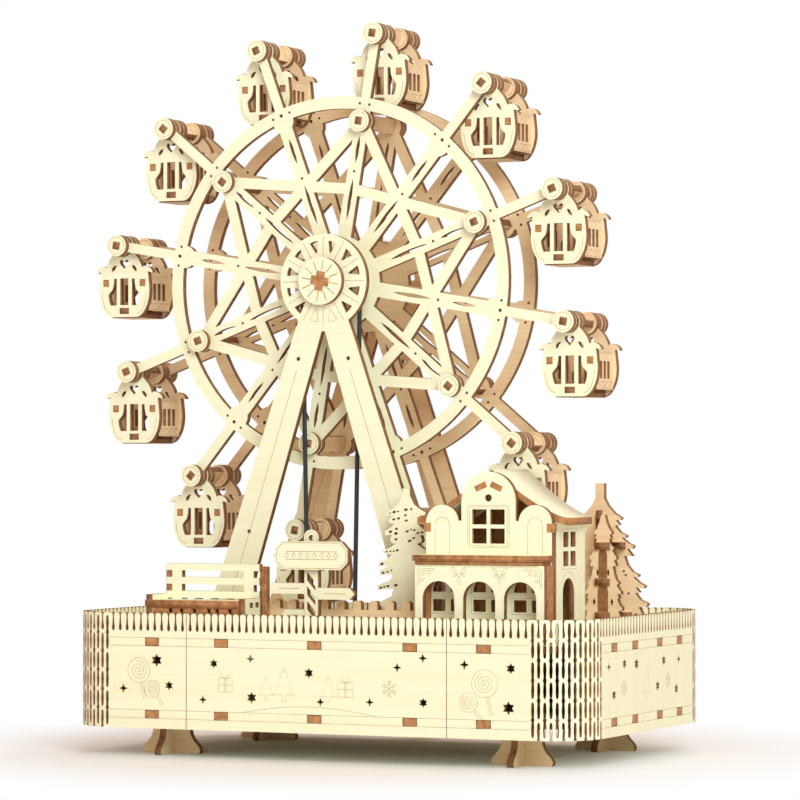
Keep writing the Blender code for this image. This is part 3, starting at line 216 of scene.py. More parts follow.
class Wire:
    """A socket of a finish; arithmetic on it adds Math nodes."""

    def __init__(self, finish, socket):
        self.finish, self.socket = finish, socket

    def maths(self, operation, *values):
        return self.finish.node("ShaderNodeMath", {"operation": operation}, dict(enumerate(values)))

    def __add__(self, other):
        return self.maths("ADD", self, other)

    def __sub__(self, other):
        return self.maths("SUBTRACT", self, other)

    def __rsub__(self, other):
        return self.maths("SUBTRACT", other, self)

    def __mul__(self, other):
        return self.maths("MULTIPLY", self, other)

    def __abs__(self):
        return self.maths("ABSOLUTE", self)

    def above(self, level):
        return self.maths("GREATER_THAN", self, level)


class Finish:
    """The nodes of one material."""

    def __init__(self, name, roughness):
        self.material = bpy.data.materials.new(name)
        self.material.use_nodes = True
        self.tree = self.material.node_tree
        self.shader = self.tree.nodes["Principled BSDF"]
        self.put(self.shader.inputs["Roughness"], roughness)

    def node(self, kind, settings=None, inputs=None, output=0):
        made = self.tree.nodes.new(kind)
        for key, value in (settings or {}).items():
            setattr(made, key, value)
        for key, value in (inputs or {}).items():
            self.put(made.inputs[key], value)
        return Wire(self, made.outputs[output])

    def put(self, socket, value):
        if isinstance(value, Wire):
            self.tree.links.new(value.socket, socket)
        else:
            socket.default_value = value

    def surface(self, name, value):
        self.put(self.shader.inputs[name], value)

    def mix(self, share, first, second):
        return self.node("ShaderNodeMix", {"data_type": "RGBA"}, {0: share, 6: first, 7: second}, 2)

    def place(self):
        return self.node("ShaderNodeTexCoord", output="Object")

    def facing(self, axis):
        """How far the surface faces along an axis, from 0 to 1."""
        normal = self.node("ShaderNodeTexCoord", output="Normal")
        share = self.node("ShaderNodeSeparateXYZ", inputs={0: normal}, output=axis)
        return share * share

    def noise(self, place, scale, detail=3.0):
        inputs = {"Vector": place, "Scale": scale, "Detail": detail, "Roughness": 0.55}
        return self.node("ShaderNodeTexNoise", None, inputs)

    def spread(self, value, low, high):
        """The value stretched so that low gives 0 and high gives 1."""
        inputs = {"Value": value, "From Min": low, "From Max": high}
        return self.node("ShaderNodeMapRange", None, inputs)


def rgba(rgb):
    return (*rgb, 1.0)


def grain_of(finish):
    """Fine fibres and broader bands, drawn out along the sheet."""
    ends = finish.facing("X").above(0.4)
    stretch = finish.node("ShaderNodeMix", {"data_type": "VECTOR"},
                          {0: ends, 4: (22.0, 620.0, 620.0), 5: (620.0, 620.0, 22.0)}, 1)
    along = finish.node("ShaderNodeVectorMath", {"operation": "MULTIPLY"},
                        {0: finish.place(), 1: stretch})
    return finish.noise(along, 1.6), finish.noise(along, 0.22, 2.0)


def face_colour(finish, pale, grain):
    """The face of the sheet: its grain, and slow changes from piece to piece."""
    fibres, bands = grain_of(finish)
    blotches = finish.noise(finish.place(), 18.0, 2.0)
    share = finish.spread(fibres, 0.42, 0.75) * 0.20 + finish.spread(bands, 0.45, 0.72) * 0.22
    share = share + finish.spread(blotches, 0.40, 0.75) * 0.12
    bump = finish.node("ShaderNodeBump", None,
                       {"Strength": 0.2, "Distance": 0.00008, "Height": fibres}, "Normal")
    finish.surface("Normal", bump)
    return finish.mix(share, rgba(pale), rgba(grain))


def edge_colour(finish, burnt, char):
    """A burnt edge: streaks of char, and darker glue lines between the layers."""
    scorch = finish.spread(finish.noise(finish.place(), 420.0), 0.35, 0.7)
    depth = finish.node("ShaderNodeAttribute", {"attribute_name": "depth"}, output="Fac")
    glue_line = 0.55
    off_line = abs(abs(depth) - glue_line)
    glue = 1.0 - finish.spread(off_line, 0.05, 0.35)
    return finish.mix(scorch * 0.65 + glue * 0.3, rgba(burnt), rgba(char))


def sheet_colour(finish, wood, axis):
    """For a node of the model: a face where it faces along the axis, else a burnt edge."""
    pale = face_colour(finish, wood.face, wood.grain)
    is_face = finish.facing(axis).above(0.5)
    return finish.mix(is_face, edge_colour(finish, wood.edge, wood.char), pale)


def ink_colour(finish, wood):
    """A burnt line, paler in patches."""
    patches = finish.spread(finish.noise(finish.place(), 260.0), 0.35, 0.7)
    return finish.mix(patches * 0.5, rgba(wood.ink), rgba(wood.grain))


def turned_colour(finish, wood):
    """Wood turned on a lathe: rings across the shaft, a little deeper than the sheet."""
    fibres, bands = grain_of(finish)
    share = finish.spread(fibres, 0.4, 0.75) * 0.4 + bands * 0.5
    return finish.mix(share, rgba(wood.grain), rgba(wood.edge))


def rubber_colour(finish, wood):
    wear = finish.spread(finish.noise(finish.place(), 900.0), 0.4, 0.8)
    return finish.mix(wear * 0.3, rgba(wood.rubber), rgba(wood.worn))


# Each finish: its roughness, and what makes its colour
LOOKS = {
    "plywood_face": (0.6, lambda finish, wood: face_colour(finish, wood.face, wood.grain)),
    # Painted shade: the darker, warmer face of the pieces further in, which stand in shadow
    "plywood_inner_face": (0.6, lambda finish, wood: face_colour(finish, wood.inner, wood.edge)),
    "burnt_edge": (0.75, lambda finish, wood: edge_colour(finish, wood.cut, wood.char)),
    "tab_end_look": (0.75, lambda finish, wood: edge_colour(finish, wood.edge, wood.char)),
    # Painted shade: char-coloured dots stand in for small holes, whose shadowed inside shows dark
    "burnt_dot": (0.8, lambda finish, wood: rgba(wood.char)),
    "engraved_line": (0.8, ink_colour),
    "plywood_deck": (0.6, lambda finish, wood: sheet_colour(finish, wood, "Z")),
    "plywood_upright": (0.6, lambda finish, wood: sheet_colour(finish, wood, "Y")),
    "turned_wood": (0.5, turned_colour),
    "belt_rubber_look": (0.7, rubber_colour),
}


def look(name):
    """The material of this name, made on its first use."""
    if name not in bpy.data.materials:
        roughness, colour_of = LOOKS[name]
        finish = Finish(name, roughness)
        finish.surface("Base Color", colour_of(finish, bpy.context.scene.ferris_wood))
    return bpy.data.materials[name]


def with_painted_shade(piece):
    """Gives a sheet painted shade: the darker, warmer face of the plates that stand further in, in
    shadow.
    """
    piece.data.materials[0] = look("plywood_inner_face")
    return piece


def light_edged(piece):
    """Gives all edges of a sheet the lighter burnt look of a tab's end."""
    piece.data.materials[1] = look("tab_end_look")
    return piece


def bare_edges(piece):
    """Shows burnt edge all over: the end of a tab, sheets stacked on edge, and the large fir's dark
    panels, which are painted shade.
    """
    light_edged(piece)
    for polygon in piece.data.polygons:
        polygon.material_index = 1
    return piece


# Outlines, in millimetres


def polar(radius, degrees):
    """A point this far from the centre, at this angle."""
    angle = math.radians(degrees)
    return (radius * math.sin(angle), radius * math.cos(angle))


def arc(centre, radius, start, end, steps):
    """Points along an arc, from one angle to another."""
    turns = [start + (end - start) * step / steps for step in range(steps + 1)]
    return [(centre[0] + x, centre[1] + y) for x, y in (polar(radius, turn) for turn in turns)]


def circle(centre, radius, steps=20):
    return arc(centre, radius, 0.0, 360.0, steps)[:-1]


def rectangle(left, bottom, right, top):
    return [(left, bottom), (right, bottom), (right, top), (left, top)]


def moved(loop, x, y):
    return [(px + x, py + y) for px, py in loop]


def turned(loop, degrees):
    """The loop turned clockwise about the centre."""
    c, s = math.cos(math.radians(degrees)), math.sin(math.radians(degrees))
    return [(x * c + y * s, y * c - x * s) for x, y in loop]


def scaled(loop, factor):
    return [(x * factor, y * factor) for x, y in loop]


def mirrored(half):
    """A closed outline from its right half, listed from top to bottom."""
    return half + [(-x, y) for x, y in reversed(half) if x > 0.001]


def both_sides(loop):
    return [loop, [(-x, y) for x, y in loop]]


def smooth(points, steps):
    """A curve through the points, a Catmull-Rom spline with open ends."""
    ends = [points[0]] + points + [points[-1]]
    curve = []
    for a, b, c, d in zip(ends, ends[1:], ends[2:], ends[3:]):
        for step in range(steps):
            t = step / steps
            curve.append(tuple(
                0.5 * (2 * q + (r - p) * t + (2 * p - 5 * q + 4 * r - s) * t * t
                       + (3 * q - p - 3 * r + s) * t * t * t)
                for p, q, r, s in zip(a, b, c, d)
            ))
    return curve + [points[-1]]


def closed_line(loop):
    return loop + loop[:1]


def diamond(width, height):
    return [(0.0, height / 2), (width / 2, 0.0), (0.0, -height / 2), (-width / 2, 0.0)]


def star(points, radius, waist):
    loop = []
    for k in range(points):
        turn = 360.0 / points
        loop += [polar(radius, turn * k), polar(radius * waist, turn * (k + 0.5))]
    return loop


def cross_outline(width, bar):
    """A plus sign, as the end of the axle."""
    w, b = width / 2, bar / 2
    quarter = [(b, w), (b, b), (w, b)]
    return [point for turn in range(4) for point in turned(quarter, 90.0 * turn)]


def clipped(loop, through, normal):
    """The part of the loop on the side of a line that the normal points to."""
    kept = []
    for (ax, ay), (bx, by) in zip(loop, loop[1:] + loop[:1]):
        a = (ax - through[0]) * normal[0] + (ay - through[1]) * normal[1]
        b = (bx - through[0]) * normal[0] + (by - through[1]) * normal[1]
        if a >= 0:
            kept.append((ax, ay))
        if (a >= 0) != (b >= 0):
            t = a / (a - b)
            kept.append((ax + (bx - ax) * t, ay + (by - ay) * t))
    return kept


def area(loop):
    pairs = zip(loop, loop[1:] + loop[:1])
    return abs(sum(ax * by - bx * ay for (ax, ay), (bx, by) in pairs)) / 2


def split_by_strip(loops, start, end, width):
    """Each loop cut in two by a straight strip of sheet that runs across it."""
    run = (end[0] - start[0], end[1] - start[1])
    size = math.hypot(*run)
    side = (-run[1] / size, run[0] / size)
    halves = []
    for loop in loops:
        for sign in (1.0, -1.0):
            normal = (side[0] * sign, side[1] * sign)
            border = (start[0] + normal[0] * width / 2, start[1] + normal[1] * width / 2)
            halves.append(clipped(loop, border, normal))
    return [half for half in halves if len(half) > 2 and area(half) > 8.0]


def crossing(inner, outer, centre, radius):
    """Where the line between a point inside a circle and one outside it meets the circle."""
    dx, dy = outer[0] - inner[0], outer[1] - inner[1]
    fx, fy = inner[0] - centre[0], inner[1] - centre[1]
    a, b, c = dx * dx + dy * dy, 2 * (fx * dx + fy * dy), fx * fx + fy * fy - radius * radius
    t = (-b + math.sqrt(b * b - 4 * a * c)) / (2 * a)
    return (inner[0] + dx * t, inner[1] + dy * t)


def bitten(loop, centre, radius):
    """The loop with a disc taken out of its corner, or the same loop where they don't meet."""
    inside = [math.dist(point, centre) < radius for point in loop]
    if not any(inside) or all(inside):
        return loop
    count = len(loop)
    last_in = next(i for i in range(count) if inside[i] and not inside[(i + 1) % count])
    first_in = next(i for i in range(count) if inside[i] and not inside[i - 1])
    leave = crossing(loop[last_in], loop[(last_in + 1) % count], centre, radius)
    enter = crossing(loop[first_in], loop[first_in - 1], centre, radius)
    kept = [loop[(last_in + 1 + i) % count] for i in range(count)]
    kept = [point for point in kept if math.dist(point, centre) >= radius]
    start = math.degrees(math.atan2(enter[0] - centre[0], enter[1] - centre[1]))
    end = math.degrees(math.atan2(leave[0] - centre[0], leave[1] - centre[1]))
    sweep = (end - start + 180.0) % 360.0 - 180.0
    return kept + arc(centre, radius, start, start + sweep, 4)


# Sheet pieces


def choose(pieces):
    """Selects only these objects, and makes the first of them active."""
    bpy.ops.object.select_all(action="DESELECT")
    for piece in pieces:
        piece.select_set(True)
    bpy.context.view_layer.objects.active = pieces[0]


def drawn(name, loops, closed=True, flat=True):
    """The loops as one curve, ready for a thickness or a round section."""
    curve = bpy.data.curves.new(name, "CURVE")
    curve.dimensions = "2D" if flat else "3D"
    curve.fill_mode = "BOTH" if flat else "FULL"
    for loop in loops:
        spline = curve.splines.new("POLY")
        spline.points.add(len(loop) - 1)
        for point, place in zip(spline.points, loop):
            point.co = (*(value * MM for value in place), *(0.0,) * (3 - len(place)), 1.0)
        spline.use_cyclic_u = closed
    made = bpy.data.objects.new(name, curve)
    bpy.context.scene.collection.objects.link(made)
    return made


def as_mesh(piece):
    """The curve made a mesh, with its doubles merged and its faces pointing out."""
    choose([piece])
    bpy.ops.object.convert(target="MESH")
    piece = bpy.context.object
    bpy.ops.object.mode_set(mode="EDIT")
    bpy.ops.mesh.select_all(action="SELECT")
    bpy.ops.mesh.remove_doubles(threshold=0.000001)
    bpy.ops.mesh.normals_make_consistent(inside=False)
    bpy.ops.object.mode_set(mode="OBJECT")
    return piece


def cut_sheet(name, loops, thickness=PLY):
    """A piece cut from sheet in the XY plane: its outline first, then its holes."""
    piece = drawn(name, loops)
    piece.data.extrude = thickness / 2 * MM
    piece = as_mesh(piece)
    mesh = piece.data
    for finish in ("plywood_face", "burnt_edge"):
        mesh.materials.append(look(finish))
    for polygon in mesh.polygons:
        polygon.material_index = 0 if abs(polygon.normal.z) > 0.9 else 1
    depth = mesh.attributes.new("depth", "FLOAT", "POINT")
    depth.data.foreach_set("value", [vertex.co.z / MM for vertex in mesh.vertices])
    return piece


def engraved(name, lines, level=HALF_PLY, half_width=0.1, closed=False):
    """Lines burnt into the sheet's face, as thin tubes that are sunk and flattened."""
    piece = drawn(name, [[(*point, 0.0) for point in line] for line in lines], closed, False)
    piece.data.bevel_depth = half_width * MM
    piece.data.bevel_resolution = 0
    piece = as_mesh(piece)
    sunk = Matrix.Translation((0.0, 0.0, level * MM)) @ Matrix.Diagonal((1.0, 1.0, 0.25, 1.0))
    piece.data.transform(sunk)
    piece.data.materials.clear()
    piece.data.materials.append(look("engraved_line"))
    return piece


def joined(pieces):
    choose(pieces)
    if len(pieces) > 1:
        bpy.ops.object.join()
    return pieces[0]


def put(piece, axes, place):
    """Faces the piece and moves it to its place on the part."""
    piece.matrix_world = Matrix.Translation((ORIGIN + Vector(place)) * MM) @ AXES[axes]
    choose([piece])
    bpy.ops.object.transform_apply(location=True, rotation=True, scale=True)
    return piece


def set_in(piece, place, axes="up"):
    """Faces a sheet and moves it, inside the piece that it is about to be joined to."""
    shift = Matrix.Translation([value * MM for value in place])
    piece.data.transform(shift @ AXES[axes])
    piece.data.update()
    return piece


def placed_sheet(name, loops, axes, place, lines=(), thickness=PLY, half_width=0.1, side=1.0):
    """A sheet with lines engraved on its near face (its far one for side -1), in its place."""
    parts = [cut_sheet(name, loops, thickness)]
    if lines:
        parts.append(engraved(name + "_lines", lines, side * thickness / 2, half_width))
    return put(joined(parts), axes, place)


def tab_end(loop, axes, place, thickness=PLY):
    return bare_edges(placed_sheet("tab_end", [loop], axes, place, (), thickness))


def copied(piece, name, place):
    """A copy with a mesh of its own, this far from the first one."""
    choose([piece])
    bpy.ops.object.duplicate(linked=False)
    twin = bpy.context.object
    twin.name = name
    twin.matrix_world = Matrix.Translation(Vector(place) * MM)
    bpy.ops.object.transform_apply(location=True, rotation=True, scale=True)
    return twin


def deliver(piece, body, *nodes, slot="plywood"):
    """Hands the piece to the body that it moves with, in place of these nodes."""
    piece.data.name = piece.name
    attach(piece, body)
    if nodes:
        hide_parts(*nodes)


def middle_of(node):
    """The middle of a node, in millimetres from the point of the floor below the hub."""
    low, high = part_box(node)
    return (low + high) / 2 / MM - ORIGIN


def edges_of(node):
    """The two corners of a node's box, measured in the same way."""
    low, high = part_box(node)
    return low / MM - ORIGIN, high / MM - ORIGIN


# Base


FRONT_TABS = (-74.8, -42.6, 0.0, 42.6, 74.8)
SIDE_TABS = (-38.0, -15.0, 13.0, 36.0)
DECK_TOPS = (49.4, 19.5)
DECK_LEVEL = DECK_TOPS[0] + GAP
WALL_LOW, WALL_TOP = 12.1, 59.8
FRINGE_GAP = ((1.1, 0.0), (0.55, 0.35), (0.32, 1.0), (0.28, 2.2), (0.42, 4.2),
              (0.66, 5.7), (0.7, 6.5), (0.48, 7.2), (0.0, 7.5))
SLIT = ((0.0, 0.0), (0.38, 0.3), (0.55, 0.9), (0.72, 3.4), (0.5, 6.2))
SLIT_WAIST = 0.82
# Half of the sheet left between two slits, and all that is left above and below them
BRIDGE, END_BRIDGE = 0.6, 1.1


def top_gap(s, scale=1.0):
    """A drop-shaped gap in the top edge, listed from right to left."""
    right = [(s + w, WALL_TOP - d * scale) for w, d in FRINGE_GAP]
    return right + [(2 * s - x, z) for x, z in reversed(right[:-1])]


def slit(s, high, low):
    """A closed slit two rows long, with a wider place at the middle."""
    middle = (high + low) / 2
    right = [(w, high - d) for w, d in SLIT] + [(SLIT_WAIST, middle)]
    right += [(w, low + d) for w, d in reversed(SLIT)]
    return [(s + w, z) for w, z in right] + [(s - w, z) for w, z in reversed(right[1:-1])]


def bottom_gap(s, high):
    """A slit that opens at the bottom edge, listed from left to right."""
    left = [(s - 0.72, WALL_LOW), (s - 0.5, WALL_LOW + 1.3), (s - 0.7, (high + WALL_LOW) / 2),
            (s - 0.55, high - 0.9), (s - 0.38, high - 0.3)]
    return left + [(s, high)] + [(2 * s - x, z) for x, z in reversed(left)]


def hinge_columns(start, sizes):
    """Places of a corner's columns of slits along the wall."""
    pitch = sizes.corner * math.pi / 2 / sizes.columns
    return [start + (k + 0.5) * pitch for k in range(sizes.columns)]


def gaps_between(start, end, pitch):
    count = max(1, round((end - start) / pitch))
    return [start + (k + 0.5) * (end - start) / count for k in range(count)]


def wall_loops(left, right, corners, flats, tabs, sizes):
    """A wall laid flat: its fringe, the slits of its corners and the slots for the tabs."""
    tops, bottoms, holes = [], [], []
    for start, end in flats:
        tops += [top_gap(s) for s in gaps_between(start, end, sizes.fringe)]
    rows = [WALL_TOP - k * sizes.row for k in range(7)]
    for start in corners:
        for k, s in enumerate(hinge_columns(start, sizes)):
            if k % 2:
                tops.append(top_gap(s, scale=0.97))
                bottoms.append(bottom_gap(s, rows[5] - BRIDGE))
                spans = ((1, 3, BRIDGE, BRIDGE), (3, 5, BRIDGE, BRIDGE))
            else:
                spans = ((0, 2, END_BRIDGE, BRIDGE), (2, 4, BRIDGE, BRIDGE),
                         (4, 6, BRIDGE, END_BRIDGE))
            holes += [slit(s, rows[high] - above, rows[low] + below)
                      for high, low, above, below in spans]
    outline = [(left, WALL_LOW)]
    for gap in sorted(bottoms):
        outline += gap
    outline += [(right, WALL_LOW), (right, WALL_TOP)]
    for gap in sorted(tops, reverse=True):
        outline += gap
    outline.append((left, WALL_TOP))
    half = sizes.tab / 2 + GAP
    for deck in DECK_TOPS:
        holes += [rectangle(s - half, deck - PLY - GAP, s + half, deck + GAP) for s in tabs]
    return [outline] + holes


def deck_lines(flats, tabs, sizes):
    """The pairs of lines that mark the decks, broken at the tabs."""
    lines = []
    half = sizes.tab / 2 + GAP
    for start, end in flats:
        stops = [stop for s in tabs if start < s < end for stop in (s - half, s + half)]
        stops = [start] + stops + [end]
        for level in (deck - drop for deck in DECK_TOPS for drop in (-0.2, PLY + 0.2)):
            lines += [[(a, level), (b, level)] for a, b in zip(stops[::2], stops[1::2])]
    return lines


def spiral(turns, radius):
    steps = int(turns * 12)
    return [polar(radius * k / steps, 360.0 * turns * k / steps) for k in range(steps + 1)]


def lollipop(x, z, radius, lean):
    """A round sweet with a swirl, on a stick."""
    rim = circle((0.0, 0.0), radius, 22)
    stick = [[(-0.5, -radius), (-0.5, -radius * 2.3)], [(0.5, -radius), (0.5, -radius * 2.3)]]
    lines = [rim + rim[:1], spiral(3.0, radius * 0.78)] + stick
    return [moved(turned(line, lean), x, z) for line in lines]


def snowflake(x, z, radius):
    lines = []
    for k in range(6):
        spoke = [[(0.0, 0.0), (0.0, radius)]]
        spoke += [[(0.0, radius * r), (side * radius * 0.26, radius * (r + 0.24))]
                  for r in (0.35, 0.65) for side in SIDES]
        lines += [moved(turned(line, 60.0 * k), x, z) for line in spoke]
    return lines


def fir(x, z, height):
    """A fir tree in outline, on a short trunk."""
    half = [(0.0, height)]
    for tier in (1, 2, 3):
        reach, low = height * 0.13 * tier, height * (1.0 - tier * 0.27)
        half += [(reach, low), (reach * 0.55, low + height * 0.03)]
    half += [(height * 0.07, height * 0.22), (height * 0.07, 0.0)]
    outline = mirrored(half)
    return [moved(outline + outline[:1], x, z - height / 2)]


def parcel(x, z, width):
    """A parcel with a ribbon and a bow."""
    w = width / 2
    box = [(-w, -w), (w, -w), (w, w * 0.7), (-w, w * 0.7), (-w, -w)]
    bow = [(0.0, w * 0.7), (-w * 0.6, w * 1.4), (-w * 0.7, w * 0.9), (0.0, w * 0.7),
           (w * 0.6, w * 1.4), (w * 0.7, w * 0.9), (0.0, w * 0.7)]
    band = w * 0.12
    lines = [box, bow, [(-band, -w), (-band, w * 0.7)], [(band, -w), (band, w * 0.7)],
             [(-w, -w * 0.1), (w, -w * 0.1)]]
    return [moved(line, x, z) for line in lines]


# Stars cut through the walls: place along the wall, height, points and radius
FRONT_STARS = ((-28.4, 39.5, 6, 1.9), (-33.4, 24.6, 4, 1.9), (-11.5, 41.8, 4, 1.9),
               (15.1, 36.6, 6, 2.2), (-10.9, 26.0, 6, 2.4), (20.3, 25.0, 4, 1.9),
               (42.4, 25.5, 4, 1.9), (54.6, 39.7, 4, 2.0), (65.9, 43.7, 4, 2.0),
               (66.1, 25.9, 6, 2.0))
LEFT_STARS = ((-55.0, 40.3, 6, 2.7), (-49.2, 30.0, 6, 2.0), (-70.7, 28.4, 4, 2.1))
RIGHT_STARS = ((84.1, 41.5, 4, 2.2), (104.2, 40.4, 6, 2.2), (103.2, 24.7, 6, 2.8))
END_STARS = ((-43.9, 40.3, 4, 2.0), (-38.4, 28.8, 6, 2.2), (-26.8, 40.8, 6, 2.2),
             (-13.5, 40.1, 6, 2.4), (10.5, 30.0, 6, 2.2), (17.6, 40.1, 6, 2.2),
             (32.2, 27.6, 6, 2.2), (35.1, 39.9, 4, 2.0))


def star_holes(stars, shift=0.0):
    waist = {4: 0.38, 6: 0.58}
    return [moved(star(n, r, waist[n]), x + shift, z) for x, z, n, r in stars]


class BaseLine:
    """The line round the base's outer face, with its lengths from the front's middle on."""

    def __init__(self, corner):
        left, right = edges_of("left_wrap_wall")[0].x, edges_of("right_wrap_wall")[1].x
        self.middle_x = (left + right) / 2
        self.front_y = middle_of("front_wall").y - HALF_PLY
        self.corner = corner
        self.flat = right - self.middle_x - corner
        self.bend = corner * math.pi / 2
        self.run = -2.0 * self.front_y - 2.0 * corner
        self.rear = 2 * self.flat + 2 * self.bend + self.run

    def along(self, y):
        """How far along the line a place on the end wall lies."""
        return self.flat + self.bend + y - self.front_y - self.corner

    def point(self, s, depth):
        """The place at this length along the line, then inwards by the depth."""
        flat, bend, run, corner = self.flat, self.bend, self.run, self.corner
        side, s = math.copysign(1.0, s), abs(s)
        if s <= flat:
            x, y, angle = s, self.front_y, 0.0
        elif s <= flat + bend:
            angle = (s - flat) / corner
            x = flat + corner * math.sin(angle)
            y = self.front_y + corner * (1.0 - math.cos(angle))
        elif s <= flat + bend + run:
            x, y, angle = flat + corner, self.front_y + corner + s - flat - bend, math.pi / 2
        elif s <= flat + 2 * bend + run:
            angle = math.pi / 2 + (s - flat - bend - run) / corner
            x = flat - corner * math.cos(angle + math.pi / 2)
            y = -self.front_y - corner + corner * math.sin(angle - math.pi / 2)
        else:
            x, y, angle = flat - (s - flat - 2 * bend - run), -self.front_y, math.pi
        x -= math.sin(angle) * depth
        y += math.cos(angle) * depth
        return Vector((self.middle_x + side * x, y))


def bend_wall(piece, cuts, base):
    """Cuts the flat wall at each column, then wraps it round the base."""
    choose([piece])
    bpy.ops.object.mode_set(mode="EDIT")
    for s in cuts:
        bpy.ops.mesh.select_all(action="SELECT")
        bpy.ops.mesh.bisect(plane_co=(s * MM, 0.0, 0.0), plane_no=(1.0, 0.0, 0.0))
    bpy.ops.object.mode_set(mode="OBJECT")
    for vertex in piece.data.vertices:
        s, z, depth = vertex.co.x / MM, vertex.co.y / MM, HALF_PLY - vertex.co.z / MM
        x, y = base.point(s, depth)
        vertex.co = (ORIGIN + Vector((x, y, z))) * MM


def flat_wall(name, axes, place, holes, lines, sizes):
    half = sizes.panel / 2
    tabs = [s for s in FRONT_TABS if abs(s) < half]
    loops = wall_loops(-half, half, (), ((-half, half),), tabs, sizes)
    piece = cut_sheet(name, loops + holes)
    lines = lines + deck_lines(((-half, half),), tabs, sizes)
    return put(joined([piece, engraved(name + "_lines", lines, half_width=0.09)]), axes, place)


def bent_wall(name, side, holes, lines, sizes, base):
    """A wall that runs round one end of the base, from seam to seam."""
    seam = sizes.panel / 2 + GAP
    far = base.rear - seam
    outer_tab = max(FRONT_TABS)
    tabs = [outer_tab] + [base.along(y) for y in SIDE_TABS] + [base.rear - outer_tab]
    corners = (base.flat, base.flat + base.bend + base.run)
    ends = [start + base.bend for start in corners]
    flats = ((seam, corners[0]), (ends[0], corners[1]), (ends[1], far))
    loops = wall_loops(seam, far, corners, flats, tabs, sizes) + holes
    lines = lines + deck_lines(flats, tabs, sizes)
    if side < 0:
        loops = [[(-s, z) for s, z in loop] for loop in loops]
        lines = [[(-s, z) for s, z in line] for line in lines]
    piece = joined([cut_sheet(name, loops), engraved(name + "_lines", lines, half_width=0.09)])
    pitch = base.bend / sizes.columns
    cuts = [side * (start + k * pitch) for start in corners for k in range(sizes.columns + 1)]
    bend_wall(piece, cuts, base)
    return piece


def foot_loop(sizes):
    """One plate of a foot, which flares in an S to its sole."""
    top, sole, neck = 16.2, sizes.sole / 2, sizes.neck / 2
    side = smooth([(neck, 10.6), (neck + 0.35, 8.2), (neck + 1.7, 5.6), (sole - 1.0, 3.4),
                   (sole - 0.1, 2.0), (sole, 0.9)], 3)
    return mirrored([(neck, top)] + side + [(sole - 0.5, 0.0)])


# Wheel and A-frames


def arm_window_loops(first, tie_first, sizes):
    """The openings of one sector, between the arm at this angle and the next arm."""
    second = first + ARM_STEP
    sector = arc((0.0, 0.0), sizes.ring_inner, first, second, 8)
    sector += arc((0.0, 0.0), sizes.hub, second, first, 5)
    for angle, sign in ((first, 1.0), (second, -1.0)):
        across = polar(sign, angle + 90.0)
        border = (across[0] * sizes.arm / 2, across[1] * sizes.arm / 2)
        sector = clipped(sector, border, across)
    tie, far_tie = (first, first + 2 * ARM_STEP) if tie_first else (second, second - 2 * ARM_STEP)
    loops = [sector]
    for start, end in ((tie, far_tie), (far_tie, tie)):
        loops = split_by_strip(loops, polar(sizes.tie_radius, start), polar(sizes.strip_end, end),
                               sizes.strip)
    even, odd = (first, second) if tie_first else (second, first)
    for centre in (polar(sizes.tie_radius, even), polar(sizes.ring_inner, odd)):
        loops = [bitten(loop, centre, sizes.lobe) for loop in loops]
    return loops


def lens(low, high, half):
    """A slender slot along an arm, pointed at both ends."""
    middle, reach = (low + high) / 2, (high - low) / 2
    steps = 8
    right = [(half * math.cos(math.pi / 2 * t) ** 0.8 if abs(t) < 1 else 0.0, middle - reach * t)
             for t in (2 * k / steps - 1 for k in range(steps + 1))]
    return mirrored(right)


def wheel_outline(sizes):
    """The ring's outer edge, broken by twelve arms with round tips."""
    half = sizes.tip / 2
    lean = math.degrees(math.asin(half / sizes.ring_outer))
    tip_lean = math.degrees(math.asin(half / sizes.disc))
    loop = []
    for angle in ARM_ANGLES:
        tip = arc((0.0, sizes.rod_radius), sizes.disc, tip_lean - 180.0, 180.0 - tip_lean, 14)
        loop += turned(tip, angle)
        loop += arc((0.0, 0.0), sizes.ring_outer, angle + lean, angle + ARM_STEP - lean, 9)
    return loop


def wheel_plate(name, sizes):
    """A plate of the wheel: ring, arms and lattice, with dark engraved dots where they meet, which
    paint the shade of small holes.
    """
    square = rectangle(-1.75, -1.75, 1.75, 1.75)
    loops = [wheel_outline(sizes), turned(cross_outline(AXLE_WIDTH, AXLE_BAR), PHASE)]
    ring = (sizes.ring_outer + sizes.ring_inner) / 2
    dots = []
    for k, angle in enumerate(ARM_ANGLES):
        loops += arm_window_loops(angle, k % 2 == 0, sizes)
        loops.append(turned(moved(square, 0.0, sizes.rod_radius), angle))
        loops.append(turned(lens(26.5, 44.5, 0.8), angle))
        if k % 2 == 0:
            beside, slot = 1.7, lens(51.0, 62.5, 0.8)
            loops.append(turned(moved(square, 0.0, sizes.tie_radius), angle))
        else:
            beside, slot = 3.1, lens(54.0, 65.6, 0.75)
            loops.append(circle(polar(ring, angle), 0.8, 8))
        loops.append(turned(slot, angle))
        places = (polar(ring, angle - beside), polar(ring, angle + beside), polar(47.5, angle))
        dots += [circle(place, 0.3, 6) for place in places]
    piece = cut_sheet(name, loops)
    marks = [engraved(name + "_dots", dots, level, 0.32, True) for level in FACES]
    # The dots are painted shade: dark where small holes would show their shadowed inside
    for mark in marks:
        mark.data.materials[0] = look("burnt_dot")
    return joined([piece] + marks)


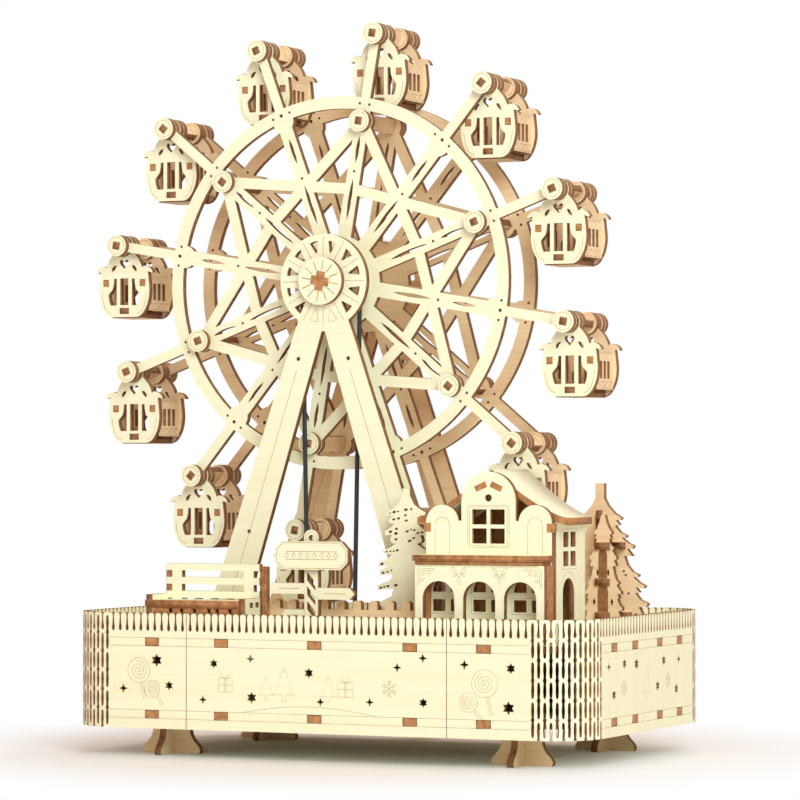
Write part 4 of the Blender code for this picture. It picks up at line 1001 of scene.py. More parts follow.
def a_frame_loops(sizes):
    """The disc at the hub, two legs and the tabs that stand in the deck."""
    foot = HUB.z - DECK_LEVEL
    radius, bore, half_gap, half_tab = 20.0, 4.29, 0.8, 4.5
    inner_lean, outer_lean = math.tan(math.radians(17.1)), math.tan(math.radians(19.0))

    def leg_edges(drop):
        below = drop - sizes.crotch
        return half_gap + below * inner_lean, half_gap + sizes.leg + below * outer_lean

    tab = sum(leg_edges(foot + GAP)) / 2
    waist = leg_edges(sizes.crotch + 2.0)[1]
    meet = 180.0 - math.degrees(math.asin(min(0.99, 0.82 * waist / radius)))
    half = arc((0.0, 0.0), radius, 0.0, meet, 22)
    half += [(waist, -sizes.crotch - 2.0), (leg_edges(foot)[1], -foot)]
    half += [(tab + half_tab, -foot), (tab + half_tab, -foot - PLY)]
    half += [(tab - half_tab, -foot - PLY), (tab - half_tab, -foot)]
    half += [(leg_edges(foot)[0], -foot), (half_gap, -sizes.crotch)]
    loops = [mirrored(half), circle((0.0, 0.0), bore, 24)]
    wedge = [polar(17.1, -6.8), polar(17.3, 0.0), polar(17.1, 6.8), (0.3, 12.2), (-0.3, 12.2)]
    windows = [turned(wedge, (k + 0.5) * 30.0) for k in range(12)]
    over_legs = (5, 6)
    loops += [window for k, window in enumerate(windows) if k not in over_legs]
    for x, drop in ((11.6, 32.4), (34.7, 105.0)):
        loops += [circle((side * x, -drop), 0.9, 12) for side in SIDES]
    lines = [closed_line(windows[k]) for k in over_legs]
    lines += [[polar(9.9, 30.0 * k), polar(18.8, 30.0 * k)] for k in range(12)]
    for side in SIDES:
        lines.append([(side * sum(leg_edges(drop)) / 2, -drop)
                      for drop in (sizes.crotch + 16.0, foot - 3.0)])
    return loops, lines


# Rods


def rod_pieces(name, shoulder, inner_discs, sizes):
    """A flat bar with a square tenon at each end, and discs pushed onto it."""
    end, proud, half, flat = 19.2, 0.4, HALF_PLY, 3.25
    right = [(half, end + proud), (half, shoulder), (flat, shoulder), (flat, -shoulder),
             (half, -shoulder), (half, -end - proud)]
    bar = with_painted_shade(cut_sheet(name, [mirrored(right)]))
    pieces = [set_in(bar, (0.0, 0.0, 0.0), "edgeways")]
    hole = rectangle(-1.62, -1.62, 1.62, 1.62)
    front = HALF_PLY - end
    for y in (front, -front) + inner_discs:
        disc = cut_sheet(name + "_disc", [circle((0.0, 0.0), sizes.disc, 28), hole])
        rims = [engraved(name + "_rim", [circle((0.0, 0.0), 3.7, 20)], level, closed=True)
                for level in FACES]
        disc = joined([disc] + rims)
        if y != front:
            with_painted_shade(disc)
        pieces.append(set_in(disc, (0.0, y, 0.0), "front"))
    return joined(pieces)


# Cabins


def cabin_outline(sizes):
    """Front or rear of a cabin: the ring round the rod, shoulders, eaves and a round belly."""
    half = arc((0.0, 0.0), sizes.head, 0.0, 116.0, 8)
    half += smooth([(5.4, -3.4), (6.9, -5.2), (8.0, -7.2), (8.7, -9.1)], 3)
    half += smooth([(9.9, -8.5), (11.7, -8.9), (13.1, -9.8), (14.0, -11.3)], 2)
    half += [(13.4, -11.5), (11.5, -11.0), (11.75, -12.2)]
    half += smooth([(11.85, -13.3), (12.35, -18.6), (12.1, -22.1), (11.3, -25.2),
                    (10.1, -27.6), (8.8, -29.4), (7.3, -30.4)], 3)
    half += [(6.2, -30.7)]
    return mirrored(half)


def heart(x, z, size):
    """A heart-shaped hole."""
    half = [(0.0, 0.35), (0.5, 0.8), (0.95, 0.75), (1.15, 0.3), (0.95, -0.2), (0.0, -1.2)]
    return moved(scaled(mirrored(half), size), x, z)


def cabin_plate(name, sizes):
    bore = circle((0.0, 0.0), 2.6, 14)
    leaf = smooth([(3.7, -8.2), (5.0, -8.4), (6.1, -9.6), (6.0, -11.0)], 3)
    leaf += smooth([(5.2, -10.6), (4.2, -9.6)], 2)
    tab_hole = rectangle(7.6, -17.4, 10.4, -14.4)
    side_window = [(3.75, -14.0), (5.05, -14.0)]
    side_window += smooth([(5.2, -16.0), (5.75, -18.4), (6.7, -19.6), (7.85, -21.1)], 3)
    side_window += [(7.5, -23.4), (6.75, -25.6), (3.75, -25.6)]
    centre_window = rectangle(-2.0, -25.5, 2.0, -13.9)
    floor_tab = rectangle(-2.3, -29.4, 2.3, -26.7)
    loops = [cabin_outline(sizes), bore, heart(0.0, -7.4, 2.0), centre_window, floor_tab]
    for loop in (leaf, tab_hole, side_window):
        loops += both_sides(loop)
    piece = cut_sheet(name, loops)
    belly = smooth([(10.4, -23.6), (9.7, -26.2), (8.4, -28.1), (6.2, -29.4)], 3)
    hem = smooth([(11.0, -20.0), (10.6, -23.6)], 3)
    lines = both_sides(belly) + both_sides(hem) + [circle((0.0, 0.0), 3.9, 16) + [polar(3.9, 0.0)]]
    drawing = engraved(name + "_lines", lines)
    return joined([piece, drawing])


def cabin_side(name, sizes):
    """A side wall between the plates, with three slots and a band under them."""
    half = sizes.depth / 2 - PLY + 0.2
    loops = [rectangle(-half, -27.8, half, -13.0)]
    loops += [rectangle(y - 1.3, -23.3, y + 1.3, -16.0) for y in (-4.1, 0.0, 4.1)]
    piece = cut_sheet(name, loops)
    low, high = -27.3, -24.5
    band = [[(-half, low), (half, low)], [(-half, high), (half, high)]]
    for y in (-7.5, -2.5, 2.5):
        band += [[(y, low), (y + 5.0, high)], [(y, high), (y + 5.0, low)]]
    drawing = [engraved(name + "_band", band, level) for level in FACES]
    return joined([piece] + drawing)


def cabin(name, sizes):
    """A whole cabin round the hub's axis, facing front."""
    near = sizes.depth / 2 - HALF_PLY
    parts = []
    for y, axes in ((-near, "front"), (near, "back")):
        plate = cabin_plate(name, sizes)
        if axes == "back":
            with_painted_shade(plate)
        parts.append(set_in(plate, (0.0, y, 0.0), axes))
        for side in SIDES:
            square = rectangle(side * 9.0 - 1.3, -17.2, side * 9.0 + 1.3, -14.6)
            end = bare_edges(cut_sheet(name + "_tab_end", [square], PLY - 0.5))
            parts.append(set_in(end, (0.0, y, 0.0), axes))
    for side in SIDES:
        wall = with_painted_shade(cabin_side(name + "_side", sizes))
        parts.append(set_in(wall, (side * (sizes.wall - HALF_PLY), 0.0, 0.0), "right"))
    reach, half = 7.4, near - HALF_PLY + 0.2
    floor = with_painted_shade(cut_sheet(name + "_floor", [rectangle(-reach, -half, reach, half)]))
    parts.append(set_in(floor, (0.0, 0.0, HALF_PLY - sizes.floor)))
    for side in SIDES:
        tongue = cut_sheet(name + "_tongue", [rectangle(-2.1, -1.4, 2.1, 1.4)])
        parts.append(set_in(tongue, (0.0, side * (near + 0.05), -28.05)))
    return joined(parts)


# Playground


SIDE_TAB_LOW, SIDE_TAB_TOP = 94.0, 97.6
# Width of the roof's back edge, as a share of its front edge
ROOF_TAPER = 0.865


def arch(x, radius, low, top):
    """An opening with a half-round head, listed from its left foot to its right foot."""
    head = arc((x, top - radius), radius, -90.0, 90.0, 14)
    return [(x - radius, low)] + head + [(x + radius, low)]


def rounded(left, low, right, top, radius):
    """A rectangle with rounded corners."""
    corners = ((right - radius, top - radius, 0.0), (right - radius, low + radius, 90.0),
               (left + radius, low + radius, 180.0), (left + radius, top - radius, 270.0))
    return [point for x, z, start in corners
            for point in arc((x, z), radius, start, start + 90.0, 4)]


def shop_front(sizes):
    """The gabled front: its loops and its engraved panels, from the shop's middle line."""
    lobe_left = sizes.gable + sizes.notch
    lobe = (sizes.width / 2 - lobe_left) / 2
    half = arc((0.0, sizes.gable_top - sizes.gable), sizes.gable, 0.0, 90.0, 16)
    half += [(sizes.gable, sizes.lobe_top - 6.4), (lobe_left, sizes.lobe_top - 6.4)]
    half += arc((lobe_left + lobe, sizes.lobe_top - lobe), lobe, -90.0, 90.0, 16)
    edge = sizes.width / 2
    half += [(edge, SIDE_TAB_TOP), (edge - 2.2, SIDE_TAB_TOP)]
    half += [(edge - 2.2, SIDE_TAB_LOW), (edge, SIDE_TAB_LOW), (edge, DECK_LEVEL)]
    loops = [mirrored(half), circle((0.0, 107.8), 1.5)]
    w, bar, top = sizes.window / 2, 0.8, 103.2
    middle, low = top - sizes.window_height / 2, top - sizes.window_height
    for left, right in ((-w, -bar), (bar, w)):
        loops.append(rectangle(left, low, right, middle - bar))
        loops.append(rectangle(left, middle + bar, right, top))
    lines = [closed_line(rounded(-w - 2.0, low - 1.6, w + 2.0, top + 1.6, 1.3)),
             closed_line(rounded(-w - 1.2, low - 0.9, w + 1.2, top + 0.9, 0.5))]
    for x in (-lobe_left - lobe, lobe_left + lobe):
        lines.append(arch(x, 3.2, sizes.ledge + 4.0, 99.9))
    half_bar, reach, sill = 1.2, 6.7, 69.8
    fan = [(half_bar, sill), (reach, sill)] + arc((0.0, sill), reach, 90.0, 10.3, 6)
    for x in (-sizes.arch_pitch, 0.0, sizes.arch_pitch):
        for side in SIDES:
            near, far = sorted((side * half_bar, side * reach))
            loops.append(rectangle(x + near, 61.9, x + far, 66.8))
            loops.append([(x + side * px, z) for px, z in fan])
        lines += [closed_line(rectangle(x - 7.5, 61.1, x + 7.5, 67.6)), arch(x, 7.5, 69.0, 77.3)]
    slots = [moved(turned(rectangle(-2.6, -1.2, 2.6, 1.2), side * 24.0), side * 3.4, 112.3)
             for side in SIDES]
    return loops + slots, lines, slots


def leaf_scrolls(x, z):
    """Two scrolls and a drop, as engraved between two arches."""
    curl = smooth([(0.5, -0.6), (1.7, -0.5), (2.7, 0.5), (3.2, 1.7), (2.3, 1.8), (1.5, 0.9),
                   (0.8, -0.2)], 2)
    leaf = smooth([(0.4, -1.0), (1.6, -1.8), (2.6, -1.6), (1.8, -0.9), (0.8, -0.9)], 2)
    drop = mirrored([(0.0, -1.4), (0.7, -3.2), (0.0, -5.2)])
    lines = both_sides(curl) + both_sides(leaf) + [closed_line(drop)]
    return [moved(line, x, z) for line in lines]


def corner_scrolls(side, x, z):
    """A ruled corner with three curls inside it."""
    rules = [[(0.0, -7.6), (0.0, 0.0), (-7.8, 0.0)], [(-0.8, -6.8), (-0.8, -0.8), (-7.0, -0.8)]]
    curls = [moved(spiral(1.4, 1.0), *place)
             for place in ((-2.6, -2.3), (-5.0, -2.0), (-2.1, -4.7))]
    return [[(x + side * px, z + pz) for px, pz in line] for line in rules + curls]


def arcade_front(sizes):
    """The wall with three arches in front of the shop."""
    half, base = 28.2, DECK_LEVEL
    outline = [(-half, base)]
    for x in (-sizes.arch_pitch, 0.0, sizes.arch_pitch):
        outline += arch(x, sizes.arch, base, sizes.arch_top)
    outline += [(half, base), (half, sizes.ledge), (-half, sizes.ledge)]
    lines = corner_scrolls(1.0, half - 1.2, 79.4) + corner_scrolls(-1.0, 1.2 - half, 79.4)
    for x in (-sizes.arch_pitch / 2, sizes.arch_pitch / 2):
        lines += leaf_scrolls(x, 78.0)
    return [outline], lines


def shop_side(near, far, sizes):
    """A side wall from above: cornice, a window of four panes and a door with a round head."""
    top, cornice = sizes.wall_top, sizes.wall_top - 3.8
    middle, base = (near + far) / 2 - 0.7, DECK_LEVEL
    outline = [(near, top), (near, cornice), (near + 3.4, cornice), (near + 3.4, base)]
    outline += arch(middle - 1.2, 6.1, base, 75.4)
    outline += [(far - 2.6, base), (far - 2.6, cornice), (far, cornice), (far, top)]
    loops = [outline]
    for left in (middle - 6.6, middle + 1.1):
        loops += [rectangle(left, 87.9, left + 5.3, 94.0), rectangle(left, 80.2, left + 5.3, 86.2)]
    lines = [closed_line(rectangle(middle - 8.3, 79.0, middle + 8.1, 95.2)),
             arc((middle - 1.2, 69.3), 8.4, -64.0, 64.0, 10)]
    return loops, lines


def roof_line(sizes):
    """The roof's top from the ridge to the eaves, at its front edge."""
    wing, steps = sizes.eaves / 2, 18
    return [(wing * k / steps, sizes.ridge - sizes.roof_drop * (1.0 - (1.0 - k / steps) ** 1.38))
            for k in range(steps + 1)]


def shop_back_wall(inner, sizes):
    """The back wall, which fills the gable up to the roof."""
    gable = [(x * ROOF_TAPER, z - PLY - 0.5) for x, z in roof_line(sizes) if x * ROOF_TAPER < inner]
    return mirrored(gable + [(inner, gable[-1][1]), (inner, DECK_LEVEL)])


def swept_roof(sizes, front, back):
    """Two wings that sweep down from the ridge; they are narrower at the back."""
    wing, top = sizes.eaves / 2, roof_line(sizes)
    under = [(x, z - PLY) for x, z in reversed(top)]
    outline = [(-x, z) for x, z in reversed(top[1:])] + top + under
    outline += [(-x, z) for x, z in reversed(under[:-1])]
    roof = cut_sheet("swept_shop_roof", [outline], back - front)
    for polygon in roof.data.polygons:
        on_eaves = abs(polygon.center.x) > (wing - 0.01) * MM
        polygon.material_index = 1 if abs(polygon.normal.z) > 0.9 or on_eaves else 0
    for vertex in roof.data.vertices:
        if vertex.co.z < 0.0:
            vertex.co.x *= ROOF_TAPER
    return roof


def bench_back(sizes):
    """Three slats across two posts."""
    w, post, half_post = sizes.bench / 2, 16.8, 2.3
    inner, outer = post - half_post, post + half_post
    pitch, gap = 5.7, 2.8
    slats = [(80.0 - pitch * k, 77.1 - pitch * k) for k in range(3)]
    half = []
    for top, low in slats:
        half += [(w, top), (w, low), (outer, low)]
        if low > slats[-1][1]:
            half.append((outer, low - gap))
    half += [(outer, DECK_LEVEL), (inner, DECK_LEVEL), (inner, slats[-1][1])]
    windows = [rectangle(-inner, low - gap, inner, low) for _, low in slats[:2]]
    return [mirrored(half)] + windows


def sign_post(sizes):
    """The post's loops and lines: a ring on top, then slanting slots down to the deck."""
    half, ring, centre = sizes.post / 2, 3.4, 91.2
    outline = mirrored(arc((0.0, centre), ring, 0.0, 150.0, 14)
                       + [(half, sizes.board_low), (half, DECK_LEVEL)])
    slots = []
    for k in range(4):
        high = 77.4 - 6.0 * k
        slots.append([(-1.9, high), (1.9, high - 4.4), (1.9, high - 7.8), (-1.9, high - 3.6)])
    lines = [closed_line(circle((0.0, centre), 2.5))]
    return [outline, circle((0.0, centre), 1.2, 16)] + slots, lines


def finger(direction, reach, height, tip):
    """A finger board from the post outwards, with a pointed end."""
    loop = [(0.0, 0.0), (reach - tip, 0.0), (reach, height / 2), (reach - tip, height),
            (0.0, height)]
    return [(direction * x, z) for x, z in loop]


def fence_loops(left, right, sizes):
    """A low wall: battlements along the top, and pairs of small lights on its left half."""
    base, top = DECK_LEVEL, sizes.fence_top
    pitch, merlon, notch, bevel = 7.4, 3.6, 3.6, 0.7
    outline = [(right, base), (left, base)]
    count = int((right - left) / pitch)
    for k in range(count):
        start = left + pitch * k
        outline += [(start, top - bevel), (start + bevel, top), (start + merlon - bevel, top),
                    (start + merlon, top - bevel), (start + merlon, top - notch),
                    (start + pitch, top - notch)]
    outline += [(left + pitch * count, top), (right, top)]
    lights = [rectangle(x, 53.6, x + 1.3, 56.0) for k in range(9)
              for x in (left + 3.7 + pitch * k, left + 5.8 + pitch * k)]
    return [outline] + lights


# Right halves of the firs' outlines, from the tip down: distance from the middle, height
LARGE_FIR = ((1.9, 63.7), (1.9, 57.6), (3.6, 54.4), (6.6, 51.2), (9.7, 49.4), (9.4, 48.6),
             (7.2, 48.3), (8.8, 46.6), (6.8, 46.0), (9.2, 43.2), (11.9, 42.1), (11.5, 41.1),
             (9.8, 41.1), (12.6, 38.9), (15.0, 37.9), (14.6, 36.6), (12.2, 36.4), (14.6, 33.5),
             (10.9, 33.5), (12.2, 29.8), (14.6, 26.9), (17.3, 25.8), (16.9, 24.9), (15.0, 24.8),
             (17.6, 22.5), (20.3, 21.2), (19.4, 20.2), (16.0, 20.5), (17.7, 18.5), (15.8, 18.2),
             (18.0, 15.4), (21.4, 13.9), (20.6, 12.6), (17.4, 12.4), (19.4, 8.6), (21.0, 6.6),
             (15.4, 6.0), (13.4, 0.0))
SMALL_FIR = ((1.6, 61.7), (1.7, 58.8), (3.6, 55.2), (6.2, 53.3), (8.8, 51.9), (8.6, 50.7),
             (5.9, 50.5), (7.9, 48.6), (7.4, 47.4), (5.2, 47.2), (7.0, 45.6), (9.8, 43.9),
             (9.6, 42.4), (6.4, 42.6), (7.2, 40.6), (6.6, 39.4), (4.9, 39.0), (7.4, 37.3),
             (10.7, 36.0), (10.3, 34.8), (6.4, 34.6), (8.6, 32.6), (12.3, 31.4), (12.6, 29.8),
             (8.2, 29.6), (11.9, 27.9), (12.0, 26.0), (6.2, 26.6), (6.8, 24.2), (12.9, 21.8),
             (13.0, 19.9), (5.8, 20.6), (6.6, 17.4), (12.2, 14.8), (12.0, 13.2), (6.4, 13.6),
             (7.4, 9.8), (10.8, 7.0), (10.2, 5.4), (6.6, 5.4), (6.6, 0.0))
# Berries cut through the small fir: place, height and size
BERRIES = ((-5.4, 52.0, 0.6), (-7.3, 51.5, 0.35), (-3.7, 52.3, 0.35), (-5.6, 49.0, 0.5),
           (-3.4, 49.4, 0.5), (-7.0, 43.9, 0.6), (-4.4, 45.1, 0.5), (-4.6, 43.2, 0.6),
           (-4.6, 40.8, 0.5), (-8.8, 35.7, 0.35), (-7.1, 35.8, 0.35), (-5.6, 35.9, 0.35),
           (-4.0, 36.3, 0.5), (-10.9, 30.6, 0.55), (-10.4, 26.95, 0.5), (-8.4, 27.4, 0.4),
           (-6.6, 28.0, 0.35), (-11.4, 20.85, 0.5), (-9.8, 21.2, 0.4), (-8.2, 21.5, 0.5),
           (-4.6, 21.9, 0.6), (-0.1, 53.0, 0.6), (-0.3, 50.7, 0.45), (0.1, 48.5, 0.5),
           (0.5, 44.1, 0.55), (2.3, 53.2, 0.4), (2.2, 44.8, 0.35), (3.7, 44.6, 0.4),
           (5.3, 43.4, 0.45), (7.2, 43.7, 0.45), (1.6, 40.2, 0.6), (3.4, 41.4, 0.45))


def fir_plate(points, front=1.0, back=1.0):
    """A fir's outline; one side may be narrower than the other."""
    return [(x * back, z) for x, z in points] + [(-x * front, z) for x, z in reversed(points)]


def berry(x, z, size):
    """An oval hole, a little longer than it is high."""
    return [(x + px * 1.5 + pz * 0.4, z + pz) for px, pz in circle((0.0, 0.0), size, 8)]


# Operators


class Builder:
    """What the operators of this file have in common."""

    bl_options = {"REGISTER", "UNDO"}

    def sizes(self, context, group):
        return Millimetres(getattr(context.scene, group))


class BuildWalls(Builder, bpy.types.Operator):
    """Cuts the base's four walls, with their fringe, stars and flexible corners."""

    bl_idname = "ferris.walls"
    bl_label = "Walls of the base"

    def execute(self, context):
        sizes = self.sizes(context, "ferris_base")
        base = BaseLine(sizes.corner)
        shift = -base.middle_x
        self.flat_walls(sizes, base, shift)
        self.bent_walls(sizes, base, shift)
        return {"FINISHED"}

    def flat_walls(self, sizes, base, shift):
        drawing = snowflake(51.1 + shift, 31.1, 3.6) + fir(3.8 + shift, 31.6, 13.5)
        drawing += parcel(-23.0 + shift, 31.2, 6.4) + parcel(31.6 + shift, 30.6, 6.8)
        drawing += fir(24.0 + shift, 30.4, 10.5) + fir(-4.2 + shift, 30.0, 9.5)
        hill = [(-30.0 + 6.0 * k, 19.9 + 3.0 * math.sin(math.pi * k / 10.0)) for k in range(11)]
        drawing.append(moved(hill, 15.0 + shift, 0.0))
        stars = star_holes(FRONT_STARS, shift)
        place = (base.middle_x, middle_of("front_wall").y, 0.0)
        wall = flat_wall("fringed_front_wall", "front", place, stars, drawing, sizes)
        deliver(wall, "stand", "front_wall")
        shaft = circle((base.middle_x, middle_of("drive_shaft").z), 2.6, 20)
        place = (base.middle_x, middle_of("rear_wall").y, 0.0)
        wall = flat_wall("fringed_rear_wall", "back", place, [shaft] + stars[1:],
                         snowflake(-30.0, 33.0, 4.0), sizes)
        deliver(wall, "stand", "rear_wall")

    def bent_walls(self, sizes, base, shift):
        start = base.along(0.0)
        ends = star_holes([(y + start, z, n, r) for y, z, n, r in END_STARS])
        drawing = snowflake(start - 27.5, 31.0, 3.6) + snowflake(start + 22.5, 31.5, 3.6)
        drawing += fir(start - 2.0, 32.0, 13.0)
        sweets = lollipop(92.8 + shift, 34.2, 5.6, -14.0) + lollipop(86.0 + shift, 26.6, 3.9, -38.0)
        wall = bent_wall("hinged_right_wall", 1.0, star_holes(RIGHT_STARS, shift) + ends,
                         sweets + drawing, sizes, base)
        deliver(wall, "stand", "right_wrap_wall")
        flip = [(-(x + shift), z, n, r) for x, z, n, r in LEFT_STARS]
        sweets = lollipop(63.4 - shift, 36.0, 5.2, 14.0) + lollipop(57.1 - shift, 28.4, 3.6, 38.0)
        wall = bent_wall("hinged_left_wall", -1.0, star_holes(flip) + ends,
                         sweets + drawing, sizes, base)
        deliver(wall, "stand", "left_wrap_wall")


class BuildFeet(Builder, bpy.types.Operator):
    """Cuts the four feet, each of two crossed plates."""

    bl_idname = "ferris.feet"
    bl_label = "Feet"

    def execute(self, context):
        sizes = self.sizes(context, "ferris_base")
        for node in [name for name in NODES if name.startswith("foot_")]:
            place = (*middle_of(node).xy, 0.0)
            along = placed_sheet("crossed_" + node, [foot_loop(sizes)], "front", place)
            across = placed_sheet("foot_across", [foot_loop(sizes)], "right", place)
            deliver(joined([with_painted_shade(along), with_painted_shade(across)]), "stand", node)
        return {"FINISHED"}


class BuildFrames(Builder, bpy.types.Operator):
    """Cuts the two A-frames that carry the wheel."""

    bl_idname = "ferris.frames"
    bl_label = "A-frames"

    def execute(self, context):
        sizes = self.sizes(context, "ferris_wheel")
        loops, lines = a_frame_loops(sizes)
        for node in ("front_a_frame", "rear_a_frame"):
            piece = cut_sheet("windowed_" + node, loops)
            drawing = [engraved("frame_lines", lines, level, 0.12) for level in FACES]
            put(joined([piece] + drawing), "front", (0.0, middle_of(node).y, HUB.z))
            if node == "rear_a_frame":
                with_painted_shade(piece)
            deliver(piece, "stand", node)
        return {"FINISHED"}


class BuildWheel(Builder, bpy.types.Operator):
    """Cuts the wheel's two plates."""

    bl_idname = "ferris.wheel"
    bl_label = "Wheel plates"

    def execute(self, context):
        sizes = self.sizes(context, "ferris_wheel")
        for node in ("wheel_front_plate", "wheel_rear_plate"):
            piece = wheel_plate("lattice_" + node, sizes)
            put(piece, "front", (0.0, middle_of(node).y, HUB.z))
            if node == "wheel_rear_plate":
                with_painted_shade(piece)
            deliver(piece, "wheel", node)
        return {"FINISHED"}


class BuildHubCap(Builder, bpy.types.Operator):
    """Cuts the round cap, engraved like a sun, with the axle's burnt end in it."""

    bl_idname = "ferris.hub_cap"
    bl_label = "Hub cap"

    def execute(self, context):
        low, high = edges_of("front_hub_cap")
        place = (0.0, (low.y + high.y) / 2, HUB.z)
        rays = [[polar(4.6, angle), polar(8.7, angle)] for angle in ARM_ANGLES]
        loops = [circle((0.0, 0.0), (high.x - low.x) / 2, 56),
                 turned(cross_outline(AXLE_WIDTH, AXLE_BAR), PHASE)]
        cap = placed_sheet("engraved_hub_cap", loops, "front", place, rays, half_width=0.22)
        proud, play = 0.3, 0.04
        end = tab_end(turned(cross_outline(AXLE_WIDTH - play, AXLE_BAR - play), PHASE), "front",
                      (0.0, place[1] - proud, HUB.z), PLY + proud)
        deliver(joined([cap, end]), "wheel", "front_hub_cap")
        return {"FINISHED"}


class BuildRods(Builder, bpy.types.Operator):
    """Makes the rods that carry the cabins and tie the plates together."""

    bl_idname = "ferris.rods"
    bl_label = "Rods"

    def execute(self, context):
        sizes = self.sizes(context, "ferris_wheel")
        for kind, shoulder, inner, radius, angles in (
            ("gondola_rod", 8.7, (-7.3, 7.3), sizes.rod_radius, ARM_ANGLES),
            ("tie_rod", 12.6, (), sizes.tie_radius, ARM_ANGLES[::2]),
        ):
            first = rod_pieces("first_" + kind, shoulder, inner, sizes)
            for k, angle in enumerate(angles):
                x, z = polar(radius, angle)
                number = f"{k + 1:02d}" if kind == "gondola_rod" else f"{k + 1}"
                piece = copied(first, f"disced_{kind}_{number}", (0.0, 0.0, 0.0))
                turn = Matrix.Rotation(math.radians(angle), 4, "Y")
                place = (ORIGIN + Vector((x, 0.0, HUB.z + z))) * MM
                piece.data.transform(Matrix.Translation(place) @ turn)
                piece.data.update()
                deliver(piece, "wheel", f"{kind}_{number}")
            bpy.data.objects.remove(first)
        return {"FINISHED"}


class BuildCabins(Builder, bpy.types.Operator):
    """Makes one cabin and hangs a copy of it on each of the twelve rods."""

    bl_idname = "ferris.cabins"
    bl_label = "Cabins"

    def execute(self, context):
        first = cabin("first_cabin", self.sizes(context, "ferris_cabin"))
        for k in range(CABIN_COUNT):
            pivot = Vector(JOINTS[f"gondola_{k + 1:02d}_swing"]["pos_m"]) / MM
            piece = copied(first, f"windowed_cabin_{k + 1:02d}", pivot)
            deliver(piece, f"cabin_{k + 1:02d}", f"gondola_{k + 1:02d}")
        bpy.data.objects.remove(first)
        return {"FINISHED"}


class BuildBelt(Builder, bpy.types.Operator):
    """Makes the round belt, smooth all the way round its two pulleys."""

    bl_idname = "ferris.belt"
    bl_label = "Belt"

    def execute(self, context):
        low, high = edges_of("drive_belt")
        large, small = 13.5, 10.5
        drive = middle_of("lower_pulley").z
        lean = math.degrees(math.asin((large - small) / (HUB.z - drive)))
        path = arc((0.0, HUB.z), large, lean - 90.0, 90.0 - lean, 32)
        path += arc((0.0, drive), small, 90.0 - lean, 270.0 + lean, 32)
        belt = drawn("round_belt", [[(x, (low.y + high.y) / 2, z) for x, z in path]], True, False)
        belt.data.bevel_depth = 0.95 * MM
        belt.data.bevel_resolution = 3
        belt = as_mesh(belt)
        belt.data.materials.clear()
        belt.data.materials.append(look("belt_rubber_look"))
        choose([belt])
        bpy.ops.object.shade_smooth()
        put(belt, "up", (0.0, 0.0, 0.0))
        deliver(belt, "stand", "drive_belt", slot="belt_rubber")
        return {"FINISHED"}


class BuildShop(Builder, bpy.types.Operator):
    """Builds the shop: arcade, ledge, gabled front, side walls, back and roof."""

    bl_idname = "ferris.shop"
    bl_label = "Shop"

    def execute(self, context):
        sizes = self.sizes(context, "ferris_playground")
        low, high = edges_of("shop_walls")
        x = (low.x + high.x) / 2
        front, arcade = low.y + 12.4, low.y + 3.0
        side_x, back = 25.2, -14.6
        loops, lines, slots = shop_front(sizes)
        parts = [placed_sheet("gabled_shop", loops, "front", (x, front, 0.0), lines)]
        for slot in slots:
            parts.append(tab_end(slot, "front", (x, front + 0.15, 0.0), PLY - 0.5))
        for side in SIDES:
            left = side * sizes.width / 2 - (0.9 if side < 0 else 2.2)
            end = rectangle(left, SIDE_TAB_LOW, left + 3.1, SIDE_TAB_TOP)
            parts.append(tab_end(end, "front", (x, front, 0.0), PLY - 0.2))
        loops, lines = arcade_front(sizes)
        parts.append(placed_sheet("arcade", loops, "front", (x, arcade, 0.0), lines))
        for inset, bottom, thickness in ((0.0, sizes.ledge + 1.5, 2.5), (1.0, sizes.ledge, 1.5)):
            wide, near, far = 28.9 - inset, low.y + inset * 0.6, front - HALF_PLY
            slab = [(-wide, far), (-wide, near + 2.2), (-wide + 1.6, near), (wide - 1.6, near),
                    (wide, near + 2.2), (wide, far)]
            slab = moved(slab, -0.9, 0.0)
            place = (x, 0.0, bottom + thickness / 2)
            parts.append(light_edged(placed_sheet("ledge", [slab], "up", place, (), thickness)))
        loops, lines = shop_side(front + HALF_PLY + GAP, back, sizes)
        for side in SIDES:
            parts.append(placed_sheet("shop_side", loops, "right", (x + side * side_x, 0.0, 0.0),
                                      lines, side=side))
            end = rectangle(arcade + HALF_PLY, DECK_LEVEL, front - HALF_PLY, sizes.ledge)
            parts.append(tab_end(end, "right", (x + side * 26.7, 0.0, 0.0)))
        inner = side_x - HALF_PLY
        wall = shop_back_wall(inner, sizes)
        back_wall = placed_sheet("shop_back", [wall], "front", (x, back - 4.2, 0.0))
        # Painted shade: the back wall gets the shaded face, and its near face, seen through the
        # windows, the edge colour of the shadowed inside
        light_edged(with_painted_shade(back_wall))
        for polygon in back_wall.data.polygons:
            if polygon.normal.y < -0.9:
                polygon.material_index = 1
        parts.append(back_wall)
        deliver(joined(parts), "stand", "shop_walls")
        roof_front, roof_back = edges_of("shop_roof")[0].y, edges_of("shop_roof")[1].y
        roof = light_edged(swept_roof(sizes, roof_front, roof_back))
        put(roof, "front", (x, (roof_front + roof_back) / 2, 0.0))
        deliver(roof, "stand", "shop_roof")
        return {"FINISHED"}


